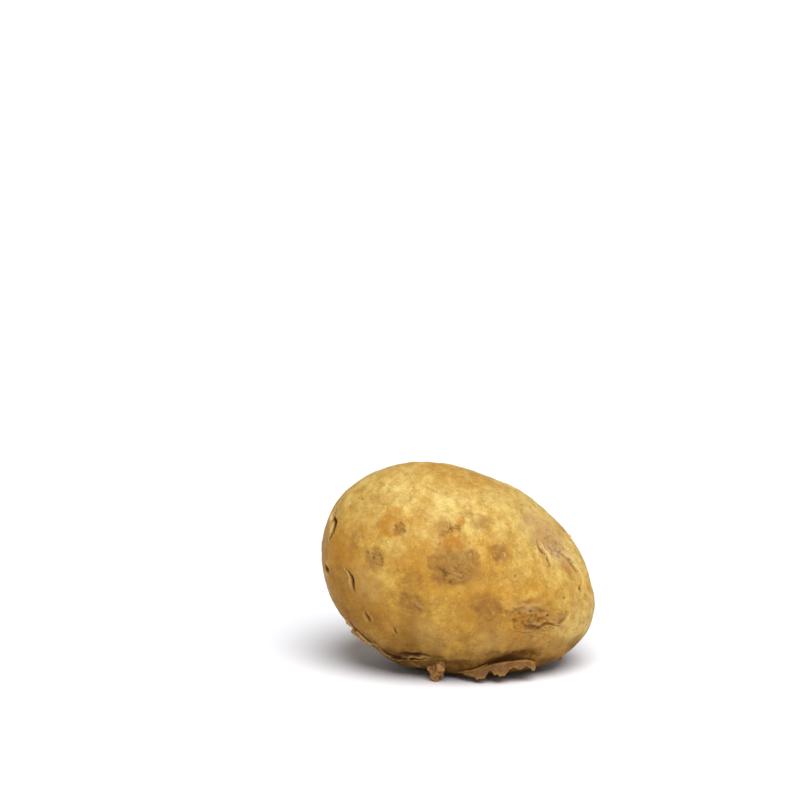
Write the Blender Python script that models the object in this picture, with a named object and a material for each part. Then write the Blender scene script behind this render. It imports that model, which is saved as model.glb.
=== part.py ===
"""Potato: one whole tuber lying on a small level spot of its underside.

The long axis runs from the broad stem end at low X to the slimmer bud end, the nose, at high X, and
dips toward the nose.  The skin is one closed surface grown from a full egg shape: broad swellings,
shallow eyes each with a brow ridge, a small navel where the stem was, and a level foot to rest on.
"""

import math
from dataclasses import dataclass

import bmesh
import bpy
import numpy as np
from mathutils import Vector, noise

# Overall sizes of the tuber before the foot is levelled, in metres.
LENGTH = 0.0860
HEIGHT = 0.0614
DEPTH = 0.0575
NOSE_DIP = math.radians(20.6)

# How full the egg is: 2 is a plain ellipsoid, less is leaner at the shoulders, more is squarer.
FULLNESS = 1.93
# Share by which the nose end is slimmer, and the stem end stouter, than the middle.
NOSE_TAPER = 0.027

# The level foot: thickness worn off the underside, and how softly the skin rolls into the level.
FOOT_WEAR = 0.0032
FOOT_ROLL = 0.0012
FOOT_ROLL_KEPT = 0.25

# Gentle unevenness of the whole skin: height of the lumps and the distance from lump to lump.
LUMP_HEIGHT = 0.0007
LUMP_SPACING = 0.021
LUMP_SEED_PLACE = Vector((3.7, 1.9, 5.3))

# The navel left by the stem: how wide and how deep it is, and where it sits round the stem end.
NAVEL_RADIUS = 0.0050
NAVEL_DEPTH = 0.0014
NAVEL_ALONG = -0.97
NAVEL_AROUND = math.radians(150.0)

# Shape of an eye, as shares of its width and its depth.
EYE_TALLNESS = 0.50
BROW_SETBACK = 0.84
BROW_THICKNESS = 0.24
BROW_CURL = 0.23
BROW_HEIGHT = 0.45

# Squares along one side of each of the six patches that wrap the tuber.
PATCH_STEPS = 30

SKIN_COLOUR = (0.62, 0.43, 0.17, 1.0)
SKIN_ROUGHNESS = 0.62


@dataclass(frozen=True)
class Swelling:
    """A broad rise of the skin, or a broad dip where the rise is negative.

    along runs from -1 at the stem end to 1 at the nose; around is the angle up from the front;
    reach is the angle it spreads over, seen from the middle of the tuber; rise is in metres.
    """

    along: float
    around: float
    reach: float
    rise: float


@dataclass(frozen=True)
class Eye:
    """One eye: a shallow hollow with a curved brow ridge on its stem side; sizes in metres."""

    along: float
    around: float
    width: float
    depth: float


SWELLINGS = (
    Swelling(along=-0.70, around=math.radians(70.0), reach=0.50, rise=0.0027),
    Swelling(along=-0.55, around=math.radians(-67.0), reach=0.60, rise=0.0024),
    Swelling(along=0.55, around=math.radians(60.0), reach=0.50, rise=-0.0035),
    Swelling(along=0.06, around=math.radians(-94.0), reach=0.28, rise=0.0024),
    Swelling(along=0.30, around=math.radians(170.0), reach=0.70, rise=0.0022),
    Swelling(along=-0.35, around=math.radians(-150.0), reach=0.50, rise=-0.0016),
)

EYES = (
    Eye(along=0.64, around=math.radians(-2.0), width=0.0150, depth=0.0017),
    Eye(along=0.93, around=math.radians(118.0), width=0.0080, depth=0.0011),
    Eye(along=0.52, around=math.radians(142.0), width=0.0130, depth=0.0017),
    Eye(along=0.40, around=math.radians(-138.0), width=0.0120, depth=0.0014),
    Eye(along=-0.18, around=math.radians(176.0), width=0.0130, depth=0.0015),
    Eye(along=-0.62, around=math.radians(122.0), width=0.0110, depth=0.0011),
)


def cube_grid():
    """Return a closed cube whose sides are split into squares, as a new bmesh."""
    grid = bmesh.new()
    bmesh.ops.create_cube(grid, size=2.0)
    bmesh.ops.subdivide_edges(grid, edges=grid.edges[:], cuts=PATCH_STEPS - 1, use_grid_fill=True)
    return grid


def directions_of(grid):
    """Return one unit direction per grid point, spread evenly over the sphere."""
    corners = np.array([vert.co[:] for vert in grid.verts])
    spread = np.tan(corners * math.pi / 4.0)
    return unit_rows(spread)


def unit_rows(rows):
    """Return each row scaled to unit length."""
    return rows / np.linalg.norm(rows, axis=1, keepdims=True)


def place_direction(along, around):
    """Return the unit direction at a share of the long axis and an angle up from the front."""
    reach_out = math.sqrt(1.0 - along * along)
    return np.array((along, -reach_out * math.cos(around), reach_out * math.sin(around)))


def egg_points(directions):
    """Return the full egg: X along the tuber, slimmer toward the nose."""
    reach = (np.abs(directions) ** FULLNESS).sum(axis=1, keepdims=True) ** (1.0 / FULLNESS)
    rounded = directions / reach
    girth = 1.0 - NOSE_TAPER * rounded[:, 0]
    length = rounded[:, 0] * LENGTH / 2.0
    depth = rounded[:, 1] * girth * DEPTH / 2.0
    height = rounded[:, 2] * girth * HEIGHT / 2.0
    return np.column_stack((length, depth, height))


def outward_rows(points):
    """Return the outward direction of the skin at each point, taken from the egg's half sizes."""
    half_sizes = np.array((LENGTH, DEPTH, HEIGHT)) / 2.0
    return unit_rows(points / half_sizes ** 2)


def swelling_heights(directions):
    """Return how far the broad swellings and dips move each point outward."""
    heights = np.zeros(len(directions))
    for swelling in SWELLINGS:
        facing = directions @ place_direction(swelling.along, swelling.around)
        angle = np.arccos(np.clip(facing, -1.0, 1.0))
        heights += swelling.rise * np.exp(-(angle / swelling.reach) ** 2)
    return heights


def lump_heights(points):
    """Return the gentle unevenness of the skin at each point."""
    places = [Vector(point) / LUMP_SPACING + LUMP_SEED_PLACE for point in points]
    return LUMP_HEIGHT * np.array([noise.noise(place) for place in places])


def surface_frame(along, around):
    """Return a place on the egg, the way out of it, the way to the nose and the way round."""
    direction = place_direction(along, around)
    place = egg_points(direction[None, :])[0]
    outward = outward_rows(place[None, :])[0]
    round_way = np.cross(outward, (1.0, 0.0, 0.0))
    round_way /= np.linalg.norm(round_way)
    nose_way = np.cross(round_way, outward)
    return place, outward, nose_way, round_way


def eye_heights(points, eye):
    """Return the hollow and the brow ridge of one eye as heights over the skin."""
    place, outward, nose_way, round_way = surface_frame(eye.along, eye.around)
    offset = points - place
    near_side = outward_rows(points) @ outward > 0.0
    sideways = (offset @ round_way) / (eye.width / 2.0)
    forward = (offset @ nose_way) / (eye.width / 2.0)
    fade = np.exp(-sideways ** 2) * near_side
    hollow = -np.exp(-(forward / EYE_TALLNESS) ** 2)
    brow_line = forward + BROW_SETBACK - BROW_CURL * sideways ** 2
    brow = BROW_HEIGHT * np.exp(-(brow_line / BROW_THICKNESS) ** 2)
    return eye.depth * fade * (hollow + brow)


def navel_heights(points):
    """Return the small round dimple where the stem was."""
    place = surface_frame(NAVEL_ALONG, NAVEL_AROUND)[0]
    distance = np.linalg.norm(points - place, axis=1)
    return -NAVEL_DEPTH * np.exp(-(distance / NAVEL_RADIUS) ** 2)


def tilted(points):
    """Return the points with the nose dipped below the stem end."""
    cosine = math.cos(NOSE_DIP)
    sine = math.sin(NOSE_DIP)
    turn = np.array(((cosine, 0.0, sine), (0.0, 1.0, 0.0), (-sine, 0.0, cosine)))
    return points @ turn.T


def footed(points):
    """Return the points with the underside rolled into a level foot at height zero."""
    above = points[:, 2] - points[:, 2].min() - FOOT_WEAR
    rolled = FOOT_ROLL * np.logaddexp(0.0, above / FOOT_ROLL)
    level = FOOT_ROLL * FOOT_ROLL_KEPT
    heights = np.maximum(rolled, level) - level
    return np.column_stack((points[:, :2], heights))


def centred(points):
    """Return the points moved so that the middle of their outline is over the origin."""
    middle = (points[:, :2].min(axis=0) + points[:, :2].max(axis=0)) / 2.0
    return points - np.array((middle[0], middle[1], 0.0))


def tuber_points(directions):
    """Return the finished skin points for the unit directions."""
    egg = egg_points(directions)
    heights = swelling_heights(directions) + lump_heights(egg) + navel_heights(egg)
    for eye in EYES:
        heights += eye_heights(egg, eye)
    grown = egg + outward_rows(egg) * heights[:, None]
    return centred(footed(tilted(grown)))


def skin_material():
    """Return the plain yellow-brown skin material."""
    material = bpy.data.materials.new("potato_skin")
    material.use_nodes = True
    shader = material.node_tree.nodes["Principled BSDF"]
    shader.inputs["Base Color"].default_value = SKIN_COLOUR
    shader.inputs["Roughness"].default_value = SKIN_ROUGHNESS
    shader.inputs["Metallic"].default_value = 0.0
    return material


def build_potato():
    """Build the tuber as one closed, smooth-shaded mesh and link it to the scene."""
    grid = cube_grid()
    for vert, point in zip(grid.verts, tuber_points(directions_of(grid))):
        vert.co = point
    bmesh.ops.triangulate(grid, faces=grid.faces[:], quad_method="SHORT_EDGE")
    bmesh.ops.recalc_face_normals(grid, faces=grid.faces[:])
    for face in grid.faces:
        face.smooth = True
    mesh = bpy.data.meshes.new("potato")
    grid.to_mesh(mesh)
    grid.free()
    mesh.materials.append(skin_material())
    potato = bpy.data.objects.new("potato", mesh)
    bpy.context.scene.collection.objects.link(potato)


def clear_scene():
    """Remove every object the file starts with."""
    for leftover in list(bpy.data.objects):
        bpy.data.objects.remove(leftover, do_unlink=True)


clear_scene()
build_potato()
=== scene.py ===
"""Looks of one whole raw potato lying on a pale floor.

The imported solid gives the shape.  A fine skin is wrapped round it and pressed, cracked, pitted and
stained, thin flakes of peeling skin are laid on it, and each gets its finish.  All sizes are in
metres, except in the lists of marks, which give them in millimetres.  A place on the tuber is
given by its share of the long axis, from -1 at the stem end to 1 at the nose, and by its angle in
degrees, up from the front.
"""

from __future__ import annotations

import logging
import math
from dataclasses import dataclass
from enum import Enum

import bmesh
import bpy
import numpy as np
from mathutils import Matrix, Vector
from mathutils.bvhtree import BVHTree
from mathutils.kdtree import KDTree


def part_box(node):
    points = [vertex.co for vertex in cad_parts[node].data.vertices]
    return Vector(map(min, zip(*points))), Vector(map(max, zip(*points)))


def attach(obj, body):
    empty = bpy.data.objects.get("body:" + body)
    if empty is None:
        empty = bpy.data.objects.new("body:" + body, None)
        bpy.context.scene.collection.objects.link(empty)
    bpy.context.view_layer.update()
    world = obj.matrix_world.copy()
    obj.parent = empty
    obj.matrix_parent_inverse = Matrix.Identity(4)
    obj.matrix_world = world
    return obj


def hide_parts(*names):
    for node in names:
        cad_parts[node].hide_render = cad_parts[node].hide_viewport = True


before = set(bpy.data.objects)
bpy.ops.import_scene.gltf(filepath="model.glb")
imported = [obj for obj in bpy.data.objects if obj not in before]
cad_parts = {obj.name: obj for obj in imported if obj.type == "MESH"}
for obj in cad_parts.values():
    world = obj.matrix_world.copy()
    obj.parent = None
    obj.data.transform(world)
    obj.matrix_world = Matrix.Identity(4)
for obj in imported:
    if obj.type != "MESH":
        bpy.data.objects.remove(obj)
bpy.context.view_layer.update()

LOG = logging.getLogger("potato")
MM = 0.001
NODE = "potato"
FREE_EDGE = "free_edge"
Triple = tuple[float, float, float]
Colour = tuple[float, float, float, float]
Pairs = tuple[tuple[float, float], ...]


class Tint(Enum):
    """Marks that the skin carries, each one kept as a value at every point of its mesh. Some of them carry
    painted shade or painted light.
    """

    # dark crack colour, and painted shade in creases, pits and hollows
    CRACK_AND_SHADE = "crack_and_shade"
    SCURF = "scurf"
    RUST = "rust"
    BLOOM = "bloom"
    # paler lifted skin, and painted light on raised lips and lit patches
    PALE = "pale"
    PORE = "pore"
    # soil stain and painted shade under the tuber
    SOIL_AND_SHADE = "soil_and_shade"
    # painted light on the top and on lit patches
    PAINTED_LIGHT = "painted_light"


@dataclass(frozen=True)
class Place:
    """A place on the tuber: share of the long axis, and degrees up from the front."""

    along: float
    around: float


@dataclass(frozen=True)
class Spot:
    """A place found on the skin.

    Args:
        point: where it is.
        outward: the way out of the skin.
        noseward: the way along the skin to the nose.
        upward: the way round the skin, up the front.
    """

    point: np.ndarray
    outward: np.ndarray
    noseward: np.ndarray
    upward: np.ndarray


@dataclass(frozen=True)
class Patch:
    """The points of the skin round a spot, measured from it.

    Args:
        indices: their numbers in the mesh.
        points: where they are.
        ahead: how far each one lies to the nose.
        across: how far each one lies up the front.
        proud: how far each one lies out of the skin at the spot.
    """

    indices: np.ndarray
    points: np.ndarray
    ahead: np.ndarray
    across: np.ndarray
    proud: np.ndarray


def unit(rows: np.ndarray) -> np.ndarray:
    """Scale vectors to unit length.

    Args:
        rows: one vector, or one vector in each row.

    Returns:
        The same vectors, each of length one.
    """
    return rows / np.maximum(np.linalg.norm(rows, axis=-1, keepdims=True), 1e-12)


def eased(low: float, high: float, values: np.ndarray) -> np.ndarray:
    """Rise smoothly from 0 to 1 as the values go from low to high.

    Args:
        low: where the rise starts.
        high: where it ends.
        values: what is compared with them.

    Returns:
        One number from 0 to 1 for each value.
    """
    share = np.clip((values - low) / (high - low), 0.0, 1.0)
    return share * share * (3.0 - 2.0 * share)


def points_of(mesh: bpy.types.Mesh) -> np.ndarray:
    """Read where the points of a mesh are.

    Args:
        mesh: the mesh.

    Returns:
        One point in each row.
    """
    flat = np.empty(len(mesh.vertices) * 3)
    mesh.vertices.foreach_get("co", flat)
    return flat.reshape(-1, 3)


def store(mesh: bpy.types.Mesh, name: str, values: np.ndarray) -> None:
    """Store one number at each point of a mesh, for its finish to read.

    Args:
        mesh: the mesh.
        name: name under which they are kept.
        values: one number for each point.
    """
    layer = mesh.attributes.new(name, "FLOAT", "POINT")
    layer.data.foreach_set("value", values.astype(np.float32))


def placed(name: str, data: bpy.types.ID) -> bpy.types.Object:
    """Put a mesh, a light or a camera in the scene.

    Args:
        name: name of the object.
        data: what it is made from.

    Returns:
        The object.
    """
    thing = bpy.data.objects.new(name, data)
    bpy.context.scene.collection.objects.link(thing)
    return thing


def search_tree(rows: np.ndarray) -> KDTree:
    """Make a tree that finds the rows nearest to a point.

    Args:
        rows: one point in each row.

    Returns:
        The tree, which numbers the points as the rows.
    """
    tree = KDTree(len(rows))
    for index, row in enumerate(rows):
        tree.insert(row, index)
    tree.balance()
    return tree


def smooth_path(knots: np.ndarray, spacing: float) -> np.ndarray:
    """Run a smooth curve through a few points.

    Args:
        knots: the points it passes, one in each row.
        spacing: about how far apart the returned points are.

    Returns:
        Points along the curve, one in each row.
    """
    ends = np.vstack((2.0 * knots[0] - knots[1], knots, 2.0 * knots[-1] - knots[-2]))
    parts = []
    for first, second, third, fourth in zip(ends, ends[1:], ends[2:], ends[3:]):
        count = max(2, int(np.linalg.norm(third - second) / spacing))
        share = np.linspace(0.0, 1.0, count, endpoint=False)[:, None]
        bend = 2.0 * first - 5.0 * second + 4.0 * third - fourth
        twist = 3.0 * (second - third) + fourth - first
        parts.append(0.5 * (2.0 * second + (third - first) * share + bend * share ** 2 + twist * share ** 3))
    return np.vstack((*parts, knots[-1:]))


class SmoothNoise:
    """Seeded gradient noise in space, worked out for many points at once."""

    CELLS = 256
    GAIN = 1.6

    def __init__(self, seed: int) -> None:
        """Shuffle the lattice.

        Args:
            seed: gives the same noise each time.
        """
        draw = np.random.default_rng(seed)
        order = draw.permutation(self.CELLS)
        self.order = np.concatenate((order, order, order))
        self.slopes = unit(draw.normal(size=(self.CELLS, 3)))

    def at(self, points: np.ndarray, spacing: float) -> np.ndarray:
        """Work out the noise.

        Args:
            points: one point in each row.
            spacing: distance from one lump to the next.

        Returns:
            One number for each point, roughly from -1 to 1.
        """
        scaled = points / spacing
        cell = np.floor(scaled).astype(int)
        within = scaled - cell
        blend = within ** 3 * (within * (within * 6.0 - 15.0) + 10.0)
        cell &= self.CELLS - 1
        total = np.zeros(len(points))
        for corner in np.ndindex(2, 2, 2):
            step = np.array(corner)
            at_corner = (cell + step) & (self.CELLS - 1)
            key = self.order[self.order[self.order[at_corner[:, 0]] + at_corner[:, 1]] + at_corner[:, 2]]
            pull = (self.slopes[key] * (within - step)).sum(axis=1)
            share = np.where(step, blend, 1.0 - blend).prod(axis=1)
            total += pull * share
        return total * self.GAIN

    def layered(self, points: np.ndarray, spacing: float, layers: int) -> np.ndarray:
        """Add finer and weaker noise to broad noise.

        Args:
            points: one point in each row.
            spacing: distance between the broadest lumps.
            layers: how many layers there are, each half as broad as the one before.

        Returns:
            One number for each point, roughly from -1 to 1.
        """
        total = np.zeros(len(points))
        for layer in range(layers):
            total += self.at(points + layer, spacing / 2 ** layer) / 2 ** layer
        return total


class Skin:
    """The fine skin while it is being worked: its points, how high each is pressed, and its marks."""

    def __init__(self, mesh: bpy.types.Mesh, centre: np.ndarray, dip: float) -> None:
        """Read the smooth skin.

        Args:
            mesh: the fine mesh that is worked.
            centre: the middle of the tuber.
            dip: angle by which the nose dips.
        """
        self.mesh = mesh
        self.points = points_of(mesh)
        normals = np.empty(self.points.size)
        mesh.vertex_normals.foreach_get("vector", normals)
        self.outward = normals.reshape(-1, 3)
        self.height = np.zeros(len(self.points))
        self.marks = {tint: np.zeros(len(self.points)) for tint in Tint}
        cosine = math.cos(dip)
        sine = math.sin(dip)
        self.turn = np.array(((cosine, 0.0, sine), (0.0, 1.0, 0.0), (-sine, 0.0, cosine)))
        self.tree = search_tree(self.points)
        self.ray_tree = search_tree(unit(self.points - centre))

    def spot(self, place: Place) -> Spot:
        """Find a place on the skin.

        Args:
            place: which place.

        Returns:
            The nearest point of the skin, with the ways out, to the nose and up the front.
        """
        slope = math.radians(place.around)
        out = math.sqrt(1.0 - place.along ** 2)
        own = np.array((place.along, -out * math.cos(slope), out * math.sin(slope)))
        index = self.ray_tree.find(Vector(self.turn @ own))[1]
        outward = self.outward[index]
        axis = self.turn @ np.array((1.0, 0.0, 0.0))
        downward = unit(np.cross(axis, outward))
        noseward = np.cross(outward, downward)
        return Spot(self.points[index], outward, noseward, -downward)

    def path(self, course: tuple[Place, ...], spacing: float) -> np.ndarray:
        """Run a smooth curve along the skin.

        Args:
            course: the places that it runs through.
            spacing: about how far apart its points are.

        Returns:
            Points along the curve, one in each row.
        """
        return smooth_path(np.array([self.spot(place).point for place in course]), spacing)

    def nearest(self, points: np.ndarray) -> list[int]:
        """Return the index of the skin point that is nearest to each point."""
        return [self.tree.find(Vector(point))[1] for point in points]

    def near(self, centre: np.ndarray, radius: float) -> np.ndarray:
        """Return the indices of the skin points within a distance of a point."""
        return np.array([found[1] for found in self.tree.find_range(Vector(centre), radius)], dtype=int)

    def patch(self, place: Place, radius: float) -> Patch:
        """Measure the skin round a place.

        Args:
            place: the middle of the patch.
            radius: how far it reaches.

        Returns:
            The points of the skin within that distance.
        """
        spot = self.spot(place)
        indices = self.near(spot.point, radius)
        points = self.points[indices]
        offset = points - spot.point
        return Patch(indices, points, offset @ spot.noseward, offset @ spot.upward, offset @ spot.outward)

    def mark(self, tint: Tint, indices: np.ndarray, values: np.ndarray) -> None:
        """Strengthen a mark where the new values are stronger than what is there.

        Args:
            tint: which mark.
            indices: the points it touches.
            values: its strength at each of them, from 0 to 1.
        """
        kept = self.marks[tint]
        kept[indices] = np.maximum(kept[indices], np.clip(values, 0.0, 1.0))

    def settle(self) -> None:
        """Move the mesh's points by their heights, keep them off the floor and store the marks."""
        moved = self.points + self.outward * self.height[:, None]
        moved[:, 2] = np.maximum(moved[:, 2], 0.0)
        self.mesh.vertices.foreach_set("co", moved.ravel())
        for tint, values in self.marks.items():
            store(self.mesh, tint.value, values)
        self.mesh.update()
        self.points = moved


@dataclass(frozen=True)
class Furrow:
    """A crack, slit or crease that runs along the skin.

    Its lips stand LIP_PLACE of its widths out from its middle.

    Args:
        course: the places it runs through.
        width: half the width of its hollow.
        depth: how deep it is.
        lip: how high its raised edges stand.
        lean: from -1 to 1, which edge is the higher one.
        dark: how dark its bottom is, from 0 to 1: crack colour and painted shade in the hollow.
        pale: how pale its lips are, from 0 to 1: lifted skin and painted light on the raised lips.
        waver: how much it wanders, as a share of its width.
        shade: how wide its dark bottom is, as a share of its width.
        tint: what its bottom is marked as.
    """

    POINT_SPACING = 0.25 * MM
    REACH = 5.0
    WANDER_SPACING = 4.0
    END_WIDTH = 0.55
    BODY_WIDTH = 0.45
    LIP_PLACE = 1.7

    course: tuple[Place, ...]
    width: float
    depth: float
    lip: float = 0.1 * MM
    lean: float = 0.0
    dark: float = 0.9
    pale: float = 0.3
    waver: float = 0.6
    shade: float = 0.8
    tint: Tint = Tint.CRACK_AND_SHADE

    def press(self, skin: Skin, noise: SmoothNoise) -> None:
        """Press the furrow into the skin and mark it.

        Args:
            skin: the skin that it runs along.
            noise: makes its edges uneven.
        """
        path = skin.path(self.course, self.POINT_SPACING)
        found = [skin.near(point, self.REACH * self.width) for point in path[::2]]
        indices = np.unique(np.concatenate(found))
        points = skin.points[indices]
        wander = noise.at(points, self.WANDER_SPACING * self.width) * self.waver * self.width
        gaps = np.linalg.norm(points[:, None, :] - path[None, :, :], axis=2)
        nearest = gaps.argmin(axis=1)
        travel = np.gradient(path, axis=0)[nearest]
        sideways = unit(np.cross(skin.outward[indices], travel))
        offset = ((points - path[nearest]) * sideways).sum(axis=1)
        beyond = np.sqrt(np.maximum(gaps.min(axis=1) ** 2 - offset ** 2, 0.0))
        offset = offset + wander
        share = nearest / (len(path) - 1)
        body = np.clip(np.sin(math.pi * share), 0.0, 1.0) ** 0.5 * np.exp(-(beyond / self.width) ** 2)
        wide = self.width * (self.END_WIDTH + self.BODY_WIDTH * body)
        groove = np.exp(-(offset / wide) ** 2) * body
        left = np.exp(-((offset + self.LIP_PLACE * wide) / wide) ** 2) * body * (1.0 - self.lean)
        right = np.exp(-((offset - self.LIP_PLACE * wide) / wide) ** 2) * body * (1.0 + self.lean)
        skin.height[indices] += self.lip * (left + right) - self.depth * groove
        inner = np.exp(-(offset / (self.shade * wide)) ** 4) * body
        # painted shade in the hollow, with the crack's own colour
        skin.mark(self.tint, indices, inner * self.dark)
        # painted light on the raised lips, with the lifted skin's own paleness
        skin.mark(Tint.PALE, indices, (left + right) * self.pale)


@dataclass(frozen=True)
class Pit:
    """A small hollow, with a raised rim round it that stands RIM_PLACE of its radii out.

    Args:
        place: where it is.
        radius: how wide it is, from its middle.
        depth: how deep it is.
        rim: how high its rim stands.
        dark: how dark its bottom is, from 0 to 1: the pit's own colour and painted shade in the hollow.
        stretch: how much longer it is across the tuber than along it.
    """

    REACH = 3.5
    RIM_PLACE = 1.7
    RIM_WIDTH = 0.6
    UNEVENNESS = 0.25

    place: Place
    radius: float
    depth: float
    rim: float = 0.0
    dark: float = 0.6
    stretch: float = 1.0

    def press(self, skin: Skin, noise: SmoothNoise) -> None:
        """Press the pit into the skin and mark it.

        Args:
            skin: the skin that it is in.
            noise: makes its outline uneven.
        """
        patch = skin.patch(self.place, self.REACH * self.radius * max(1.0, self.stretch))
        gap = np.hypot(patch.ahead, patch.across / self.stretch) / self.radius
        gap += self.UNEVENNESS * noise.at(patch.points, 1.6 * self.radius)
        hollow = np.exp(-gap ** 2)
        rim = np.exp(-((gap - self.RIM_PLACE) / self.RIM_WIDTH) ** 2)
        skin.height[patch.indices] += self.rim * rim - self.depth * hollow
        # painted shade in the hollow, with the pit's own colour
        skin.mark(Tint.CRACK_AND_SHADE, patch.indices, self.dark * hollow ** 2)


@dataclass(frozen=True)
class Blotch:
    """A patch of rougher or stained skin with a ragged edge; some are laid as painted shade or painted light.

    Args:
        place: its middle.
        radius: how far it spreads.
        tint: what it is marked as.
        strength: how strong it is, from 0 to 1.
        rough: how high its scales stand.
        stretch: how much longer it is along the tuber than across it.
        ragged: how uneven its outline is, as a share of its radius.
        soft: how gradually it fades out, as a share of its radius.
        veins: how dark the fine cracks inside it are, from 0 to 1.
    """

    REACH = 2.0
    SCALE_SPACING = 1.2 * MM
    VEIN_SPACING = 1.9 * MM
    VEIN_PATCHES = 2.6 * MM
    VEIN_WIDTH = 0.17
    EDGE_WIDTH = 0.12

    place: Place
    radius: float
    tint: Tint
    strength: float
    rough: float = 0.0
    stretch: float = 1.0
    ragged: float = 0.36
    soft: float = 0.28
    veins: float = 0.0

    def press(self, skin: Skin, noise: SmoothNoise) -> None:
        """Stain and roughen the skin.

        Args:
            skin: the skin that it is on.
            noise: makes its edge ragged and its inside uneven.
        """
        patch = skin.patch(self.place, self.REACH * self.radius * max(1.0, self.stretch))
        points = patch.points
        gap = np.hypot(patch.ahead / self.stretch, patch.across) / self.radius
        gap += self.ragged * noise.layered(points, 0.8 * self.radius, 4)
        inside = 1.0 - eased(1.0 - self.soft, 1.0 + self.soft, gap)
        uneven = 0.86 + 0.50 * noise.layered(points + self.radius, self.VEIN_SPACING, 3)
        skin.mark(self.tint, patch.indices, self.strength * inside * np.clip(uneven, 0.0, 1.0))
        scales = noise.layered(points, self.SCALE_SPACING, 3)
        veins = 1.0 - eased(0.0, self.VEIN_WIDTH, np.abs(noise.layered(points + 2.0, self.VEIN_SPACING, 2)))
        veins *= inside * eased(-0.2, 0.4, noise.at(points + 3.0, self.VEIN_PATCHES))
        edge = np.exp(-((gap - 1.0) / self.EDGE_WIDTH) ** 2)
        skin.height[patch.indices] += self.rough * (inside * scales + 0.6 * edge - 1.1 * veins)
        skin.mark(Tint.CRACK_AND_SHADE, patch.indices, self.veins * veins)


@dataclass(frozen=True)
class Crumple:
    """A crumpled area of skin with many short creases and small bumps.

    Args:
        place: its middle.
        length: half its length along the tuber.
        height: half its height across the tuber.
        relief: how high its bumps are.
        spacing: how far apart they are.
        dark: how dark its creases are, from 0 to 1: painted shade in the creases.
        pale: how pale its bumps are, from 0 to 1.
    """

    REACH = 1.4
    DRAWN_OUT = 2.8
    CREASE_WIDTH = 0.20

    place: Place
    length: float
    height: float
    relief: float = 0.20 * MM
    spacing: float = 1.5 * MM
    dark: float = 0.7
    pale: float = 0.3

    def press(self, skin: Skin, noise: SmoothNoise) -> None:
        """Crumple the skin.

        Args:
            skin: the skin that is crumpled.
            noise: lays out the creases and bumps.
        """
        patch = skin.patch(self.place, self.REACH * max(self.length, self.height))
        gap = np.hypot(patch.ahead / self.length, patch.across / self.height)
        gap += 0.28 * noise.layered(patch.points, 0.6 * self.height, 2)
        inside = 1.0 - eased(0.60, 1.10, gap)
        drawn_out = np.column_stack((patch.ahead / self.DRAWN_OUT, patch.across, patch.proud)) + self.length
        bumps = noise.layered(drawn_out, self.spacing, 3)
        folds = np.abs(noise.layered(drawn_out + 4.0, 1.4 * self.spacing, 2))
        creases = 1.0 - eased(0.0, self.CREASE_WIDTH, folds)
        creases *= inside * eased(-0.25, 0.25, noise.at(patch.points + 5.0, 1.5 * self.spacing))
        skin.height[patch.indices] += self.relief * (inside * bumps - 1.1 * creases)
        # painted shade in the creases
        skin.mark(Tint.CRACK_AND_SHADE, patch.indices, self.dark * creases)
        skin.mark(Tint.PALE, patch.indices, self.pale * inside * eased(0.20, 0.60, bumps))


@dataclass(frozen=True)
class EyeFolds:
    """The fine folds round an eye: curved creases over it and a bud scar in its hollow.

    Spacings, widths and radii named in capitals are shares of half the eye's width.

    Args:
        place: the middle of the eye's hollow.
        width: how wide the eye is across the tuber.
        folds: how many creases lie over it.
        depth: how deep the deepest crease is.
    """

    REACH = 0.95
    FOLD_SPACING = 0.26
    CREASE_WIDTH = 0.065
    SHOULDER_PLACE = 0.17
    SHOULDER_WIDTH = 0.13
    SCAR_RADIUS = 0.20
    STAIN_RADIUS = 0.7

    place: Place
    width: float
    folds: int = 3
    depth: float = 0.35 * MM

    def press(self, skin: Skin, noise: SmoothNoise) -> None:
        """Press the creases and the bud scar into the skin.

        Args:
            skin: the skin round the eye.
            noise: makes the creases uneven.
        """
        patch = skin.patch(self.place, self.REACH * self.width)
        points = patch.points
        indices = patch.indices
        half = self.width / 2.0
        across = patch.across / half
        ahead = patch.ahead / half + 0.12 * noise.at(points, 0.5 * half)
        wander = 0.16 * noise.layered(points + 6.0, 0.5 * half, 2)
        for fold in range(self.folds):
            line = ahead + wander + 0.28 + self.FOLD_SPACING * fold - 0.26 * across ** 2
            broken = eased(-0.45, 0.10, noise.at(points + fold, 0.45 * half))
            weight = broken / (1.0 + 0.8 * fold)
            crease = np.exp(-(line / self.CREASE_WIDTH) ** 2) * np.exp(-(across / (0.75 - 0.12 * fold)) ** 4)
            beside = np.exp(-((line + self.SHOULDER_PLACE) / self.SHOULDER_WIDTH) ** 2)
            shoulder = beside * np.exp(-(across / 0.8) ** 4)
            skin.height[indices] += self.depth * weight * (0.40 * shoulder - crease)
            # painted shade in the crease
            skin.mark(Tint.CRACK_AND_SHADE, indices, 0.60 * weight * crease)
        crumpled = Crumple(self.place, 0.45 * self.width, 0.5 * self.width, 0.10 * MM, dark=0.45, pale=0.2)
        crumpled.press(skin, noise)
        scar = np.exp(-(np.hypot(across, ahead - 0.05) / self.SCAR_RADIUS) ** 2)
        skin.height[indices] -= 0.8 * self.depth * scar
        skin.mark(Tint.CRACK_AND_SHADE, indices, 0.5 * scar)
        skin.mark(Tint.RUST, indices, 0.5 * np.exp(-(np.hypot(across, ahead) / self.STAIN_RADIUS) ** 2))


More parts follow.
